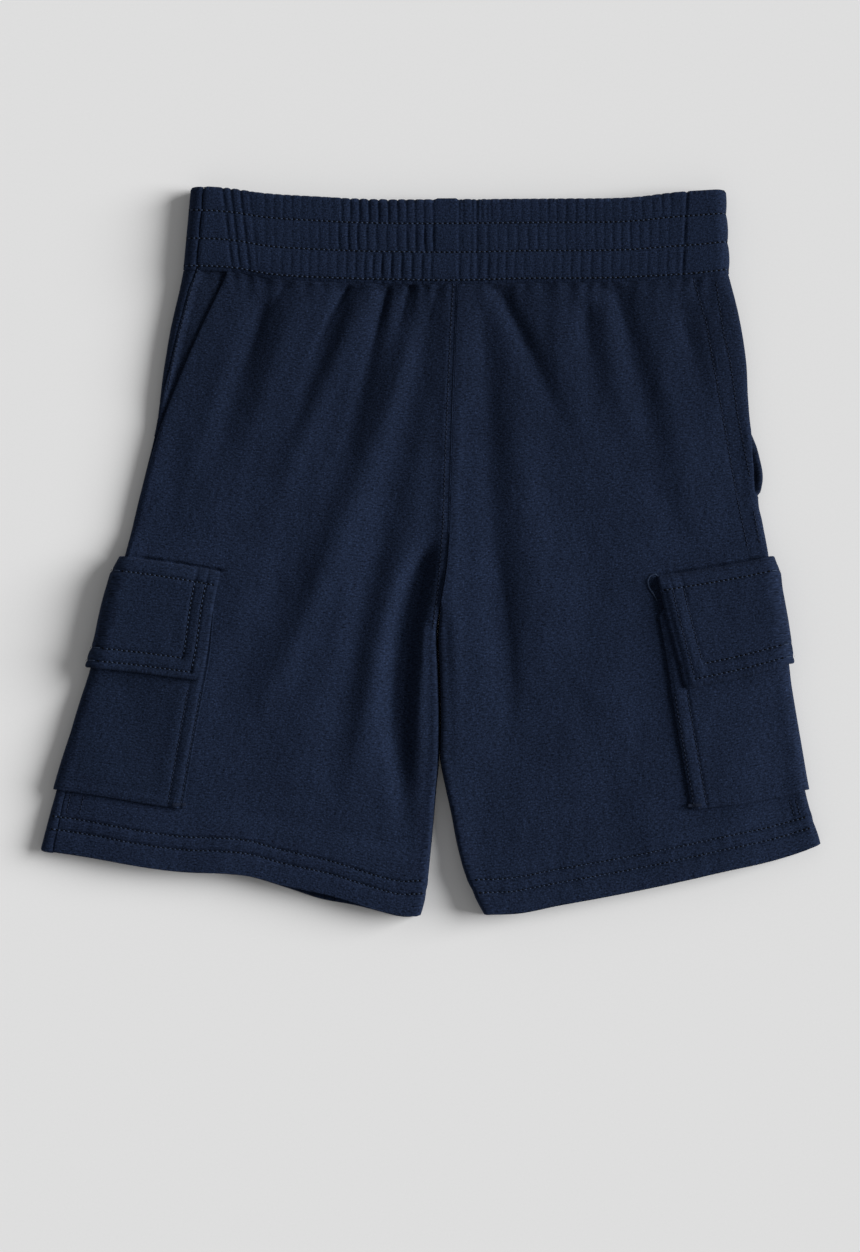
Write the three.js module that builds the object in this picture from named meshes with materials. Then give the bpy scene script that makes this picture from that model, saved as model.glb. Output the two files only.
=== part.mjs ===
// Child's navy fleece cargo shorts, laid flat on their back: waist towards +Y, front face up.
// Every piece is a closed cloth wall worked out from flattened rings round the hips and each leg.
// Left and right are those seen from above. Lengths are millimetres.
import * as THREE from 'three';

// Cloth
const WALL = 1.8;
const HEM_WALL = 3.2;
const HEM_DEPTH = 22;
const BAND_WALL = 4;
const POCKET_WALL = 1.6;
const FLAP_WALL = 2.6;
const FACING_WALL = 1.4;

// Gaps between pieces that are sewn together
const GAP = 0.3;
const HALF_GAP = GAP / 2;
const BAND_GAP = 0.6;
const WAIST_GAP = 0.5;

// Hollow inside the garment, and how its height eases from the edges to the middle
const HOLLOW = 4.8;
const MIN_HOLLOW = 0.6;
const MIN_TOP = 2 * WALL + MIN_HOLLOW;
const BAND_ROLL = BAND_WALL + HOLLOW / 2;
const CROTCH_Y = -41;
const CROTCH_BLEND = 16;
const INSEAM_EASE = 10;
const SIDE_EASE = 40;
const FOLD_EDGE_EASE = 8;
const QUARTER = Math.PI / 2;

// Cargo pocket and flap: how far out they lie, how high they stack under the back panel, and how far
// they reach round the back. The flap steps up from the leg onto the pocket below its seam.
const POCKET_OUT = 0.5;
const FLAP_OUT = POCKET_OUT + POCKET_WALL + GAP;
const POCKET_STACK = POCKET_OUT + POCKET_WALL;
const FLAP_STACK = FLAP_OUT + FLAP_WALL;
const FLAP_SEAM = 1;
const FLAP_SEAT = 9;
const POCKET_BACK = 60;
const FLAP_BACK = 58;
const STACK_FLAT = 62;
const STACK_EASE = 16;

// Hand-pocket mouth
const FACING_INSET = WALL + 0.5;
const FACING_TURN = 4;
const FACING_UNDERLAP = 7;
const FACING_LOW_LEFT = 58;
const FACING_LOW_RIGHT = 25;
const FACING_SHARES = [0, 0.2, 0.4, 0.6, 0.8, 1];

// Waistband ribs
const FRONT_RIBS = 40;
const BACK_RIBS = 38;
const RIB_HEIGHT = 0.8;
const RIB_AT_STITCH = 0.35;
const RIB_EVEN = 0.75;
const RIB_WAVES = 61;
const RIB_ROW_SHIFT = 2.3;
const CHANNEL_PUFF = 0.7;
const SEAM_PUFF = 0.2;
const EDGE_PUFF = 0.5;
const PLAIN_END = 16;
const PLAIN_SHARES = [0, 0.008, 0.016, 0.024, 0.032, 0.04];
const RIB_START = 0.048;

// Mesh steps. Pieces that lie on each other share these heights on the side.
const ROW_HEIGHTS = [-119.5, -103, -84, -66, -58, -44, -30, -15, 0, 12, 25, 30, 35, 42, 58, 74, 90, 106, 124];
const FRONT_MIDDLE = 15;
const BACK_MIDDLE = 5;
const FRONT_STEPS = [0, 1.8, 3.6, 5.4, 8];
const BACK_STEPS = [0, 2, 4, 6, 8, 10.5, 14];
const BACK_FIXED = [-32, -48, -65, -81];
const HALF_STEP = 3;
const HEM_STEP = 0.3;
const TURN_STEPS = 3;
const WRAP_TURN = [-7, -4.6, -3.1, -1.5, 0, 1.5, 3.1, 4.6, 7];
const WRAP_BACK = [1, 0.72, 0.45, 0.22];
const WRAP_FRONT = [0.2, 0.42, 0.7, 1];

// Garment outline, one row for each height. x: outline; seam and mouth: how far round from the
// outline, on the cloth, the side seam and the hand-pocket mouth lie (negative is behind).
const LEFT_SIDE = [
  { y: -149.8, x: -195.2, seam: 9.0, mouth: 9.0 },
  { y: -131.8, x: -190.5, seam: 8.0, mouth: 8.0 },
  { y: -117.2, x: -186.3, seam: 6.5, mouth: 6.5 },
  { y: -92.0, x: -178.6, seam: 4.0, mouth: 4.0 },
  { y: -64.2, x: -169.8, seam: 1.5, mouth: 1.5 },
  { y: -44.2, x: -163.4, seam: 0.5, mouth: 0.5 },
  { y: -22.8, x: -158.5, seam: 0.0, mouth: 0.0 },
  { y: -2.2, x: -152.8, seam: 0.0, mouth: 0.0 },
  { y: 24.8, x: -146.4, seam: 0.0, mouth: 0.0 },
  { y: 40.0, x: -142.6, seam: 0.0, mouth: 0.6 },
  { y: 63.5, x: -137.0, seam: 0.2, mouth: 4.4 },
  { y: 90.8, x: -133.4, seam: 5.4, mouth: 12.0 },
  { y: 115.2, x: -129.2, seam: 7.0, mouth: 18.5 },
  { y: 132.0, x: -125.2, seam: 7.8, mouth: 23.0 },
  { y: 141.0, x: -123.4, seam: 10.0, mouth: 25.5 },
];
const RIGHT_SIDE = [
  { y: -146.9, x: 195.8, seam: -8, mouth: -8 },
  { y: -135.8, x: 192.2, seam: -8, mouth: -8 },
  { y: -120.1, x: 188.2, seam: -8, mouth: -8 },
  { y: -99.8, x: 184.6, seam: -8, mouth: -8 },
  { y: -66.2, x: 179.0, seam: -8, mouth: -8 },
  { y: -45.2, x: 176.0, seam: -8, mouth: -8 },
  { y: -21.0, x: 172.0, seam: -8, mouth: -8 },
  { y: 2.3, x: 169.0, seam: -8, mouth: -8 },
  { y: 16.5, x: 166.6, seam: -8, mouth: -8 },
  { y: 25.8, x: 164.8, seam: -8, mouth: -1.5 },
  { y: 38.0, x: 167.2, seam: -8, mouth: 6.6 },
  { y: 49.5, x: 165.0, seam: -8, mouth: 5.0 },
  { y: 62.0, x: 161.4, seam: -8, mouth: 1.5 },
  { y: 75.8, x: 159.8, seam: -8, mouth: 1 },
  { y: 95.8, x: 158.7, seam: -8, mouth: 1 },
  { y: 119.2, x: 154.9, seam: -8, mouth: 1 },
  { y: 139.3, x: 149.7, seam: -8, mouth: 1 },
];

// Inseam below the crotch and rise seam above it
const LEFT_INNER = [
  { y: -182.5, x: -5.1 },
  { y: -168.8, x: -2.0 },
  { y: -147.6, x: 0.5 },
  { y: -117.5, x: 3.2 },
  { y: -104.0, x: 4.5 },
  { y: -84.2, x: 4.9 },
  { y: -59.8, x: 4.3 },
  { y: -41.0, x: 3.6 },
  { y: -27.8, x: 5.0 },
  { y: -5.6, x: 8.4 },
  { y: 35.8, x: 10.3 },
  { y: 79.2, x: 11.6 },
  { y: 133.6, x: 13.8 },
];
const RIGHT_INNER = [
  { y: -182.1, x: 27.8 },
  { y: -172.5, x: 23.0 },
  { y: -160.7, x: 17.6 },
  { y: -146.8, x: 13.8 },
  { y: -131.5, x: 10.9 },
  { y: -117.5, x: 7.8 },
  { y: -104.0, x: 5.3 },
  { y: -84.2, x: 5.4 },
  { y: -59.8, x: 4.8 },
  { y: -41.0, x: 4.1 },
  { y: -27.8, x: 5.4 },
  { y: -5.6, x: 8.8 },
  { y: 35.8, x: 10.7 },
  { y: 79.2, x: 12.0 },
  { y: 133.6, x: 14.2 },
];

// Lower edges of the legs
const LEFT_HEM = [
  { x: -195.2, y: -149.8 },
  { x: -172.8, y: -153.1 },
  { x: -144.2, y: -158.2 },
  { x: -126.7, y: -160.5 },
  { x: -91.5, y: -162.7 },
  { x: -74.6, y: -167.2 },
  { x: -47.8, y: -173.2 },
  { x: -25.5, y: -180.2 },
  { x: -13.3, y: -183.0 },
  { x: -5.1, y: -182.5 },
];
const RIGHT_HEM = [
  { x: 27.8, y: -182.1 },
  { x: 45.3, y: -181.4 },
  { x: 65.0, y: -177.5 },
  { x: 100.0, y: -171.0 },
  { x: 126.8, y: -165.3 },
  { x: 146.8, y: -160.7 },
  { x: 172.3, y: -155.0 },
  { x: 192.4, y: -148.4 },
  { x: 195.8, y: -146.9 },
];

// Where the left back hem shows below the front one. height: share of the leg over which it fades
const BACK_HEM_PEEK = { x: -53, width: 15, drop: 2.6, height: 0.125 };

// Waistband: seam to the legs below, free edge above
const WAIST_SEAM = [
  { x: -123.4, y: 141.0 },
  { x: -98.5, y: 140.0 },
  { x: -78.7, y: 136.6 },
  { x: -54.0, y: 135.0 },
  { x: -21.5, y: 134.1 },
  { x: 14.0, y: 133.6 },
  { x: 44.5, y: 134.5 },
  { x: 89.3, y: 134.8 },
  { x: 111.5, y: 135.8 },
  { x: 134.0, y: 137.2 },
  { x: 149.7, y: 139.3 },
];
const WAIST_EDGE = [
  { x: -119.6, y: 182.4 },
  { x: -100.5, y: 181.2 },
  { x: -84.6, y: 178.9 },
  { x: -58.0, y: 177.1 },
  { x: -28.3, y: 175.7 },
  { x: 14.0, y: 175.7 },
  { x: 64.7, y: 176.0 },
  { x: 100.5, y: 176.6 },
  { x: 122.7, y: 179.2 },
  { x: 147.6, y: 180.8 },
];
const BAND_SEAM_LEFT = 10.5;
const BAND_SEAM_RIGHT = -8;
const BAND_STITCHES = [1.6, 15, 28.8];
const BAND_HEIGHT = 40.5;

// Layers along the side. y: height; under: what lies below the back panel; roll and inseam: radius of
// the outer edge and of the inseam edge; middle: height of the front face away from the edges.
const LAYERS = [
  { y: -165, under: 0, roll: 4.1, inseam: 4.2, middle: 11.4 },
  { y: -124.4, under: 0, roll: 4.1, inseam: 4.2, middle: 11.4 },
  { y: -119.5, under: POCKET_STACK, roll: 3.2, inseam: 3.2, middle: 10 },
  { y: -66, under: POCKET_STACK, roll: 2.9, inseam: 3, middle: 9.8 },
  { y: -58, under: FLAP_STACK, roll: 2.9, inseam: 3, middle: 9.8 },
  { y: 0, under: FLAP_STACK, roll: 2.9, inseam: 3, middle: 9.8 },
  { y: 12, under: 0, roll: 4.2, inseam: 3, middle: 9.8 },
  { y: 60, under: 0, roll: 4.5, inseam: 3, middle: 9.8 },
  { y: 120, under: 0, roll: 4.8, inseam: 3, middle: 10 },
  { y: 142, under: 0, roll: 5.8, inseam: 3, middle: 11 },
];

// Folds of the front, from the upper end through a middle point to the lower end. half: half width;
// rise: height, negative for a trough; head and tail: share of the length that fades at each end.
const FOLDS = [
  { top: [-81, 132], mid: [-95, 90], low: [-118, 20], half: 6.5, rise: -2.2, head: 0.1, tail: 0.7 },
  { top: [-90, 128], mid: [-110, 62], low: [-132, 5], half: 7, rise: 1.2, head: 0.25, tail: 0.6 },
  { top: [-64, 132], mid: [-86, 68], low: [-100, 25], half: 7, rise: 1.6, head: 0.2, tail: 0.6 },
  { top: [-40, 134], mid: [-52, 98], low: [-76, 35], half: 5, rise: -3.2, head: 0.04, tail: 0.8 },
  { top: [-31, 130], mid: [-58, 70], low: [-88, -10], half: 7, rise: 1.8, head: 0.15, tail: 0.6 },
  { top: [-21, 134], mid: [-31, 92], low: [-50, 20], half: 4.5, rise: -3.2, head: 0.04, tail: 0.8 },
  { top: [-8, 134], mid: [-12, 116], low: [-19, 92], half: 4, rise: -2.4, head: 0.04, tail: 0.7 },
  { top: [-6, 120], mid: [-35, 32], low: [-88, -128], half: 8, rise: 2.8, head: 0.15, tail: 0.35 },
  { top: [3, 132], mid: [-20, 25], low: [-55, -125], half: 8, rise: -1.8, head: 0.1, tail: 0.3 },
  { top: [-8, 28], mid: [-25, -50], low: [-45, -152], half: 8, rise: 2.2, head: 0.3, tail: 0.35 },
  { top: [-60, 10], mid: [-76, -35], low: [-100, -100], half: 10, rise: -1.5, head: 0.3, tail: 0.4 },
  { top: [2, 12], mid: [-8, -24], low: [-15, -52], half: 5, rise: -4.5, head: 0.35, tail: 0.3 },
  { top: [-11, -18], mid: [-14, -80], low: [-12, -150], half: 5.5, rise: -6.2, head: 0.25, tail: 0.35 },
  { top: [28, 128], mid: [31, 25], low: [40, -112], half: 7, rise: -2.0, head: 0.1, tail: 0.3 },
  { top: [19, 110], mid: [17, 10], low: [18, -110], half: 6, rise: 1.6, head: 0.3, tail: 0.3 },
  { top: [35, 134], mid: [48, 98], low: [66, 55], half: 5, rise: -2.8, head: 0.04, tail: 0.7 },
  { top: [40, 110], mid: [49, 20], low: [54, -90], half: 9, rise: 1.6, head: 0.3, tail: 0.5 },
  { top: [78, 128], mid: [79, 95], low: [86, 50], half: 6, rise: -1.5, head: 0.1, tail: 0.7 },
  { top: [93, 134], mid: [102, 98], low: [120, 30], half: 5, rise: -2.6, head: 0.04, tail: 0.7 },
  { top: [86, 130], mid: [92, 95], low: [104, 40], half: 6, rise: 1.3, head: 0.2, tail: 0.6 },
  { top: [126, 130], mid: [131, 100], low: [140, 70], half: 5, rise: -1.4, head: 0.2, tail: 0.6 },
  { top: [110, 120], mid: [119, 75], low: [132, 5], half: 8, rise: 1.3, head: 0.3, tail: 0.5 },
];

// Cargo pockets. top and bottom: heights on the side; frontTop and frontBottom: reach round the front.
// tilt: how much lower an edge is at the front, for each millimetre of reach.
const LEFT_CARGO = {
  pocket: { top: -15, bottom: -118.6, topTilt: 0, bottomTilt: 0, frontTop: 51.5, frontBottom: 65.8 },
  flap: { top: -2.7, bottom: -57, topTilt: 0.02, bottomTilt: -0.02, frontTop: 49.5, frontBottom: 54.3 },
};
const RIGHT_CARGO = {
  pocket: { top: -15, bottom: -118.8, topTilt: 0, bottomTilt: -0.06, frontTop: 59.7, frontBottom: 59 },
  flap: { top: -2.7, bottom: -55, topTilt: 0.025, bottomTilt: 0.055, frontTop: 57.4, frontBottom: 52 },
};

// Numbers along tables
function curve(rows, key, value) {
  const sorted = [...rows].sort((a, b) => a[key] - b[key]);
  const keys = sorted.map((row) => row[key]);
  const values = sorted.map((row) => row[value]);
  const spline = new THREE.CubicInterpolant(keys, values, 1, [0]);
  return (at) => spline.evaluate(at)[0];
}

function steps(rows, key, value) {
  const keys = rows.map((row) => row[key]);
  const values = rows.map((row) => row[value]);
  const line = new THREE.LinearInterpolant(keys, values, 1, [0]);
  return (at) => line.evaluate(at)[0];
}

const mix = THREE.MathUtils.lerp;
const ease = THREE.MathUtils.smoothstep;

const waistSeam = curve(WAIST_SEAM, 'x', 'y');
const waistEdge = curve(WAIST_EDGE, 'x', 'y');
const under = steps(LAYERS, 'y', 'under');
const roll = steps(LAYERS, 'y', 'roll');
const inseam = steps(LAYERS, 'y', 'inseam');
const middle = steps(LAYERS, 'y', 'middle');

// Height of all folds at a point: each is a soft line through three points
function foldHeight(x, y) {
  let height = 0;
  for (const fold of FOLDS) {
    const along = (fold.top[1] - y) / (fold.top[1] - fold.low[1]);
    if (along <= 0 || along >= 1) continue;
    const bend = (fold.top[1] - fold.mid[1]) / (fold.top[1] - fold.low[1]);
    const straight = mix(fold.top[0], fold.low[0], along);
    const sag = fold.mid[0] - mix(fold.top[0], fold.low[0], bend);
    const centre = straight + (sag * along * (1 - along)) / (bend * (1 - bend));
    const fade = ease(along, 0, fold.head) * ease(1 - along, 0, fold.tail);
    height += fold.rise * fade * Math.exp(-(((x - centre) / fold.half) ** 2));
  }
  return height;
}

// One half of the body: the flattened ring from its side outline to its inseam or rise seam
class Half {
  constructor(side, inner, hem) {
    this.sideX = curve(side, 'y', 'x');
    this.innerX = curve(inner, 'y', 'x');
    this.hemY = curve(hem, 'x', 'y');
    this.seam = steps(side, 'y', 'seam');
    this.mouth = steps(side, 'y', 'mouth');
    this.low = { side: side[0], inner: inner[0] };
    this.high = { side: side.at(-1), inner: inner.at(-1) };
  }

  sideY(v) {
    return mix(this.low.side.y, this.high.side.y, v);
  }

  rowAt(y) {
    return (y - this.low.side.y) / (this.high.side.y - this.low.side.y);
  }

  innerY(v) {
    return mix(this.low.inner.y, this.high.inner.y, v);
  }

  width(v) {
    const across = this.innerX(this.innerY(v)) - this.sideX(this.sideY(v));
    return Math.hypot(across, this.innerY(v) - this.sideY(v));
  }

  // Point of the plan at share u from the side outline to the inner edge, row v from hem to waist
  plan(u, v) {
    const x = mix(this.sideX(this.sideY(v)), this.innerX(this.innerY(v)), u);
    const hemX = mix(this.low.side.x, this.low.inner.x, u);
    const waistX = mix(this.high.side.x, this.high.inner.x, u);
    const hemBow = this.hemY(hemX) - mix(this.low.side.y, this.low.inner.y, u);
    const waistBow = waistSeam(waistX) - WAIST_GAP - mix(this.high.side.y, this.high.inner.y, u);
    const y = mix(this.sideY(v), this.innerY(v), u) + hemBow * (1 - v) ** 2 + waistBow * v ** 2;
    return { x, y };
  }

  // How far the legs are parted at row v: 0 at the rise, 1 below the crotch
  parting(v) {
    return 1 - ease(this.innerY(v), CROTCH_Y, CROTCH_Y + CROTCH_BLEND);
  }

  // Where the flat stretch ends on the cloth, counted from the outline
  flatEnd(v) {
    const radius = roll(this.sideY(v));
    return (QUARTER - 1) * radius + this.width(v) - inseam(this.sideY(v));
  }

  top(v, distance, plan) {
    const y = this.sideY(v);
    const rest = this.width(v) - distance;
    const edge = under(y) + 2 * roll(y);
    const open = mix(edge, middle(y), ease(distance, roll(y), roll(y) + SIDE_EASE));
    const edgeRoll = inseam(y);
    const near = this.parting(v) * (1 - ease(rest, edgeRoll, edgeRoll + INSEAM_EASE));
    const fadeSide = ease(distance, roll(y), roll(y) + FOLD_EDGE_EASE);
    const fadeInner = mix(1, ease(rest, edgeRoll, edgeRoll + FOLD_EDGE_EASE), this.parting(v));
    const folds = foldHeight(plan.x, plan.y) * fadeSide * fadeInner;
    return Math.max(mix(open, 2 * edgeRoll, near) + folds, MIN_TOP);
  }

  bottom(v, distance) {
    return under(this.sideY(v)) * (1 - ease(distance, STACK_FLAT, STACK_FLAT + STACK_EASE));
  }

  // Point of the cloth, reach round from the side outline (front positive), out beyond the outer face
  at(v, reach, out) {
    const y = this.sideY(v);
    const radius = roll(y);
    const centre = under(y) + radius;
    const turn = QUARTER * radius;
    const far = Math.abs(reach);
    const face = reach >= 0 ? 1 : -1;
    const flatEnd = this.flatEnd(v);
    const width = this.width(v);
    if (far < turn) {
      const angle = far / radius;
      const plan = this.plan((radius - (radius + out) * Math.cos(angle)) / width, v);
      return new THREE.Vector3(plan.x, plan.y, centre + face * (radius + out) * Math.sin(angle));
    }
    const flat = Math.min(far, flatEnd);
    const distance = radius + flat - turn;
    const inner = inseam(y);
    const angle = Math.min((far - flat) / inner, QUARTER);
    const parting = this.parting(v);
    const pushed = (inner + out * parting) * Math.sin(angle);
    const plan = this.plan((distance + pushed) / width, v);
    const over = this.plan(distance / width, v);
    const height = face > 0 ? this.top(v, distance, over) : this.bottom(v, distance);
    const drop = inner * (1 - Math.cos(angle)) * parting;
    const clear = (HALF_GAP * parting * angle) / QUARTER;
    const lift = out * mix(1, Math.cos(angle), parting) - drop + clear;
    return new THREE.Vector3(plan.x, plan.y, height + face * lift);
  }
}

const left = new Half(LEFT_SIDE, LEFT_INNER, LEFT_HEM);
const right = new Half(RIGHT_SIDE, RIGHT_INNER, RIGHT_HEM);

// Closed wall between an outer and an inner grid of points with the same number of columns
function wallGeometry(outer, inner) {
  const points = [];
  const faces = [];
  const number = (grid) => grid.map((column) => column.map((point) => points.push(point) - 1));
  const out = number(outer);
  const back = number(inner);
  const quad = (a, b, c, d) => faces.push([a, b, c], [a, c, d]);
  const last = out.length - 1;
  for (let i = 0; i < last; i += 1) {
    const top = out[i].length - 1;
    const backTop = back[i].length - 1;
    for (let j = 0; j < top; j += 1) {
      quad(out[i][j], out[i + 1][j], out[i + 1][j + 1], out[i][j + 1]);
    }
    for (let j = 0; j < backTop; j += 1) {
      quad(back[i][j], back[i][j + 1], back[i + 1][j + 1], back[i + 1][j]);
    }
    quad(out[i + 1][0], out[i][0], back[i][0], back[i + 1][0]);
    quad(out[i][top], out[i + 1][top], back[i + 1][backTop], back[i][backTop]);
  }
  zip(out[0], back[0]).forEach(([a, b, c]) => faces.push([a, b, c]));
  zip(out[last], back[last]).forEach(([a, b, c]) => faces.push([a, c, b]));
  return closedGeometry(points, faces);
}

// Triangles between two edges that start and end side by side
function zip(a, b) {
  const faces = [];
  let i = 0;
  let j = 0;
  while (i < a.length - 1 || j < b.length - 1) {
    const nextA = (i + 1) / (a.length - 1);
    const nextB = (j + 1) / (b.length - 1);
    if (j === b.length - 1 || (i < a.length - 1 && nextA <= nextB)) {
      faces.push([a[i], a[i + 1], b[j]]);
      i += 1;
    } else {
      faces.push([a[i], b[j + 1], b[j]]);
      j += 1;
    }
  }
  return faces;
}

function closedGeometry(points, faces) {
  const volume = faces.reduce((sum, [a, b, c]) => {
    const normal = new THREE.Vector3().crossVectors(points[b], points[c]);
    return sum + points[a].dot(normal);
  }, 0);
  const outward = volume > 0 ? faces : faces.map(([a, b, c]) => [a, c, b]);
  const geometry = new THREE.BufferGeometry().setFromPoints(points);
  geometry.setIndex(outward.flat());
  geometry.computeVertexNormals();
  return geometry;
}

// Shared rows between two heights on the side, both ends included
function rowsBetween(half, low, high) {
  const inside = ROW_HEIGHTS.filter((y) => y > low + HALF_STEP && y < high - HALF_STEP);
  return [low, ...inside, high].map((y) => half.rowAt(y));
}

// Rows of a leg panel, with a close pair where the turned-up hem ends
function panelRows(half) {
  const hemEnd = half.low.side.y + HEM_DEPTH;
  const hemRows = rowsBetween(half, hemEnd - HEM_STEP, hemEnd + HEM_STEP);
  return [0, ...hemRows, ...rowsBetween(half, ROW_HEIGHTS[0], half.high.side.y)];
}

function panelWall(half, v) {
  return v < half.rowAt(half.low.side.y + HEM_DEPTH) ? HEM_WALL : WALL;
}

// Leg panel on one face, its columns running from the side towards the inner edge
function panelGeometry(half, face, start, firstSteps, fixed, middleSteps) {
  const rows = panelRows(half);
  const reachAt = (v, column) => {
    const flatEnd = half.flatEnd(v);
    const first = [...firstSteps.map((step) => start(v) + face * step), ...fixed];
    if (column < first.length) return first[column];
    const inMiddle = column - first.length + 1;
    const from = Math.abs(first.at(-1));
    if (inMiddle <= middleSteps) return face * mix(from, flatEnd, inMiddle / middleSteps);
    const turned = (inMiddle - middleSteps) / TURN_STEPS;
    return face * (flatEnd + QUARTER * inseam(half.sideY(v)) * turned);
  };
  const count = firstSteps.length + fixed.length + middleSteps + TURN_STEPS;
  const columns = Array.from({ length: count }, (_, k) => k);
  const peek = (x, v) => {
    const across = (x - BACK_HEM_PEEK.x) / BACK_HEM_PEEK.width;
    return BACK_HEM_PEEK.drop * Math.exp(-(across ** 2)) * Math.max(0, 1 - v / BACK_HEM_PEEK.height);
  };
  const grid = (depth) =>
    columns.map((column) =>
      rows.map((v) => {
        const point = half.at(v, reachAt(v, column), depth * panelWall(half, v));
        if (face < 0 && half === left) point.y -= peek(point.x, v);
        return point;
      }),
    );
  return wallGeometry(grid(0), grid(-1));
}

function frontGeometry(half) {
  const start = (v) => half.mouth(half.sideY(v)) + HALF_GAP;
  return panelGeometry(half, 1, start, FRONT_STEPS, [], FRONT_MIDDLE);
}

function backGeometry(half) {
  const start = (v) => half.seam(half.sideY(v)) - HALF_GAP;
  return panelGeometry(half, -1, start, BACK_STEPS, BACK_FIXED, BACK_MIDDLE);
}

// Cloth inside the hand pocket, from the side seam to just under the front panel's mouth edge
function facingGeometry(half, low) {
  const rows = rowsBetween(half, low, half.high.side.y);
  const grid = (depth) =>
    FACING_SHARES.map((share) =>
      rows.map((v) => {
        const y = half.sideY(v);
        const begin = half.seam(y) + GAP;
        const reach = mix(begin, half.mouth(y) + FACING_UNDERLAP, share);
        const free = Math.min(FACING_TURN, half.mouth(y) - begin - GAP);
        const inset = FACING_INSET * ease(reach - begin, 0, free);
        return half.at(v, reach, -inset - depth * FACING_WALL);
      }),
    );
  return wallGeometry(grid(0), grid(1));
}

// Piece sewn on the leg's side: it wraps from the back round the outline to the front
function wrapGeometry(half, piece, backReach, extraHeights, outAt, wall) {
  const wide = WRAP_TURN.at(-1);
  const frontEnd = (share) => mix(piece.frontBottom, piece.frontTop, share);
  const columns = [
    ...WRAP_BACK.map((part) => () => -mix(wide, backReach, part)),
    ...WRAP_TURN.map((reach) => () => reach),
    ...WRAP_FRONT.map((part) => (share) => mix(wide, frontEnd(share), part)),
  ];
  const extra = extraHeights.map((y) => half.rowAt(y));
  const rows = [...rowsBetween(half, piece.bottom, piece.top), ...extra].sort((a, b) => a - b);
  const tilts = rows.map(() => 0);
  tilts[0] = piece.bottomTilt;
  tilts[rows.length - 1] = piece.topTilt;
  const grid = (depth) =>
    columns.map((reachAt) =>
      rows.map((row, k) => {
        const reach = reachAt((row - rows[0]) / (rows.at(-1) - rows[0]));
        const y = half.sideY(row) - tilts[k] * Math.max(reach, 0);
        return half.at(half.rowAt(y), reach, outAt(piece.top - half.sideY(row)) + depth * wall);
      }),
    );
  return wallGeometry(grid(1), grid(0));
}

function pocketGeometry(half, piece) {
  return wrapGeometry(half, piece, POCKET_BACK, [], () => POCKET_OUT, POCKET_WALL);
}

function flapGeometry(half, piece) {
  const outAt = (below) => mix(GAP, FLAP_OUT, ease(below, FLAP_SEAM, FLAP_SEAT));
  return wrapGeometry(half, piece, FLAP_BACK, [piece.top - FLAP_SEAT], outAt, FLAP_WALL);
}

// Waistband half: ribbed outer face over a plain inner one. from and to are reaches round the sides,
// counted from the left and right outlines and positive on this band's own face.
function bandGeometry(face, fromReach, toReach, ribs) {
  const turn = QUARTER * BAND_ROLL;
  const leftX = (w) => mix(WAIST_SEAM[0].x, WAIST_EDGE[0].x, w);
  const rightX = (w) => mix(WAIST_SEAM.at(-1).x, WAIST_EDGE.at(-1).x, w);
  const length = (w) => rightX(w) - leftX(w) - 2 * BAND_ROLL + 2 * turn;
  const pointAt = (w, travel, out) => {
    const total = length(w);
    const fromLeft = travel < total / 2;
    const reach = fromLeft ? travel : total - travel;
    const radius = BAND_ROLL + out;
    const angle = Math.min(reach / BAND_ROLL, QUARTER);
    const beyond = Math.max(0, reach - turn);
    const distance = BAND_ROLL - radius * Math.cos(angle) + beyond;
    const x = fromLeft ? leftX(w) + distance : rightX(w) - distance;
    const y = mix(waistSeam(x), waistEdge(x), w);
    return new THREE.Vector3(x, y, BAND_ROLL + face * radius * Math.sin(angle));
  };
  const crossRows = bandRows();
  const shares = bandColumns(ribs);
  const travelAt = (w, share) => mix(fromReach, length(w) - toReach, share);
  const outer = shares.map(({ share, rib }) =>
    crossRows.map(({ up, puff }, row) => {
      const w = up / BAND_HEIGHT;
      const travel = travelAt(w, share);
      const reach = Math.min(travel, length(w) - travel);
      const uneven = mix(Math.sin(share * RIB_WAVES + row * RIB_ROW_SHIFT), 1, RIB_EVEN);
      const ribbed = reach >= PLAIN_END && rib === 1;
      const ridge = ribbed ? RIB_HEIGHT * uneven * mix(RIB_AT_STITCH, 1, puff) : 0;
      const free = face > 0 && reach > 0;
      return pointAt(w, travel, free ? CHANNEL_PUFF * puff - ridge : 0);
    }),
  );
  const inner = shares.map(({ share }) => [0, 1].map((w) => pointAt(w, travelAt(w, share), -BAND_WALL)));
  return wallGeometry(outer, inner);
}

// Heights across the band: stitch rows pinch it and the channels between them puff up
function bandRows() {
  const rows = [{ up: 0, puff: SEAM_PUFF }];
  const edges = [...BAND_STITCHES, BAND_HEIGHT];
  edges.forEach((edge, k) => {
    if (k > 0) rows.push({ up: (edges[k - 1] + edge) / 2, puff: 1 });
    rows.push({ up: edge, puff: edge === BAND_HEIGHT ? EDGE_PUFF : 0 });
  });
  return rows;
}

function bandColumns(ribs) {
  const ribbed = Array.from({ length: 2 * ribs + 1 }, (_, k) => ({
    share: mix(RIB_START, 1 - RIB_START, k / (2 * ribs)),
    rib: k % 2,
  }));
  const start = PLAIN_SHARES.map((share) => ({ share, rib: 0 }));
  const finish = [...PLAIN_SHARES].reverse().map((share) => ({ share: 1 - share, rib: 0 }));
  return [...start, ...ribbed, ...finish];
}

// Finishes
const fleece = (colour) => new THREE.MeshStandardMaterial({ color: colour, roughness: 0.92, metalness: 0 });
const NAVY = 0x1a2438;
const NAVY_DEEP = 0x141c2c;
const NAVY_BAND = 0x1c263b;

function piece(name, geometry, colour) {
  const mesh = new THREE.Mesh(geometry, fleece(colour));
  mesh.name = name;
  return mesh;
}

// A band half starts and ends half a gap from the side seams, which count from its own face
function bandHalf(face, ribs) {
  const start = BAND_GAP / 2 + face * BAND_SEAM_LEFT;
  return bandGeometry(face, start, BAND_GAP / 2 + face * BAND_SEAM_RIGHT, ribs);
}

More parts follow.
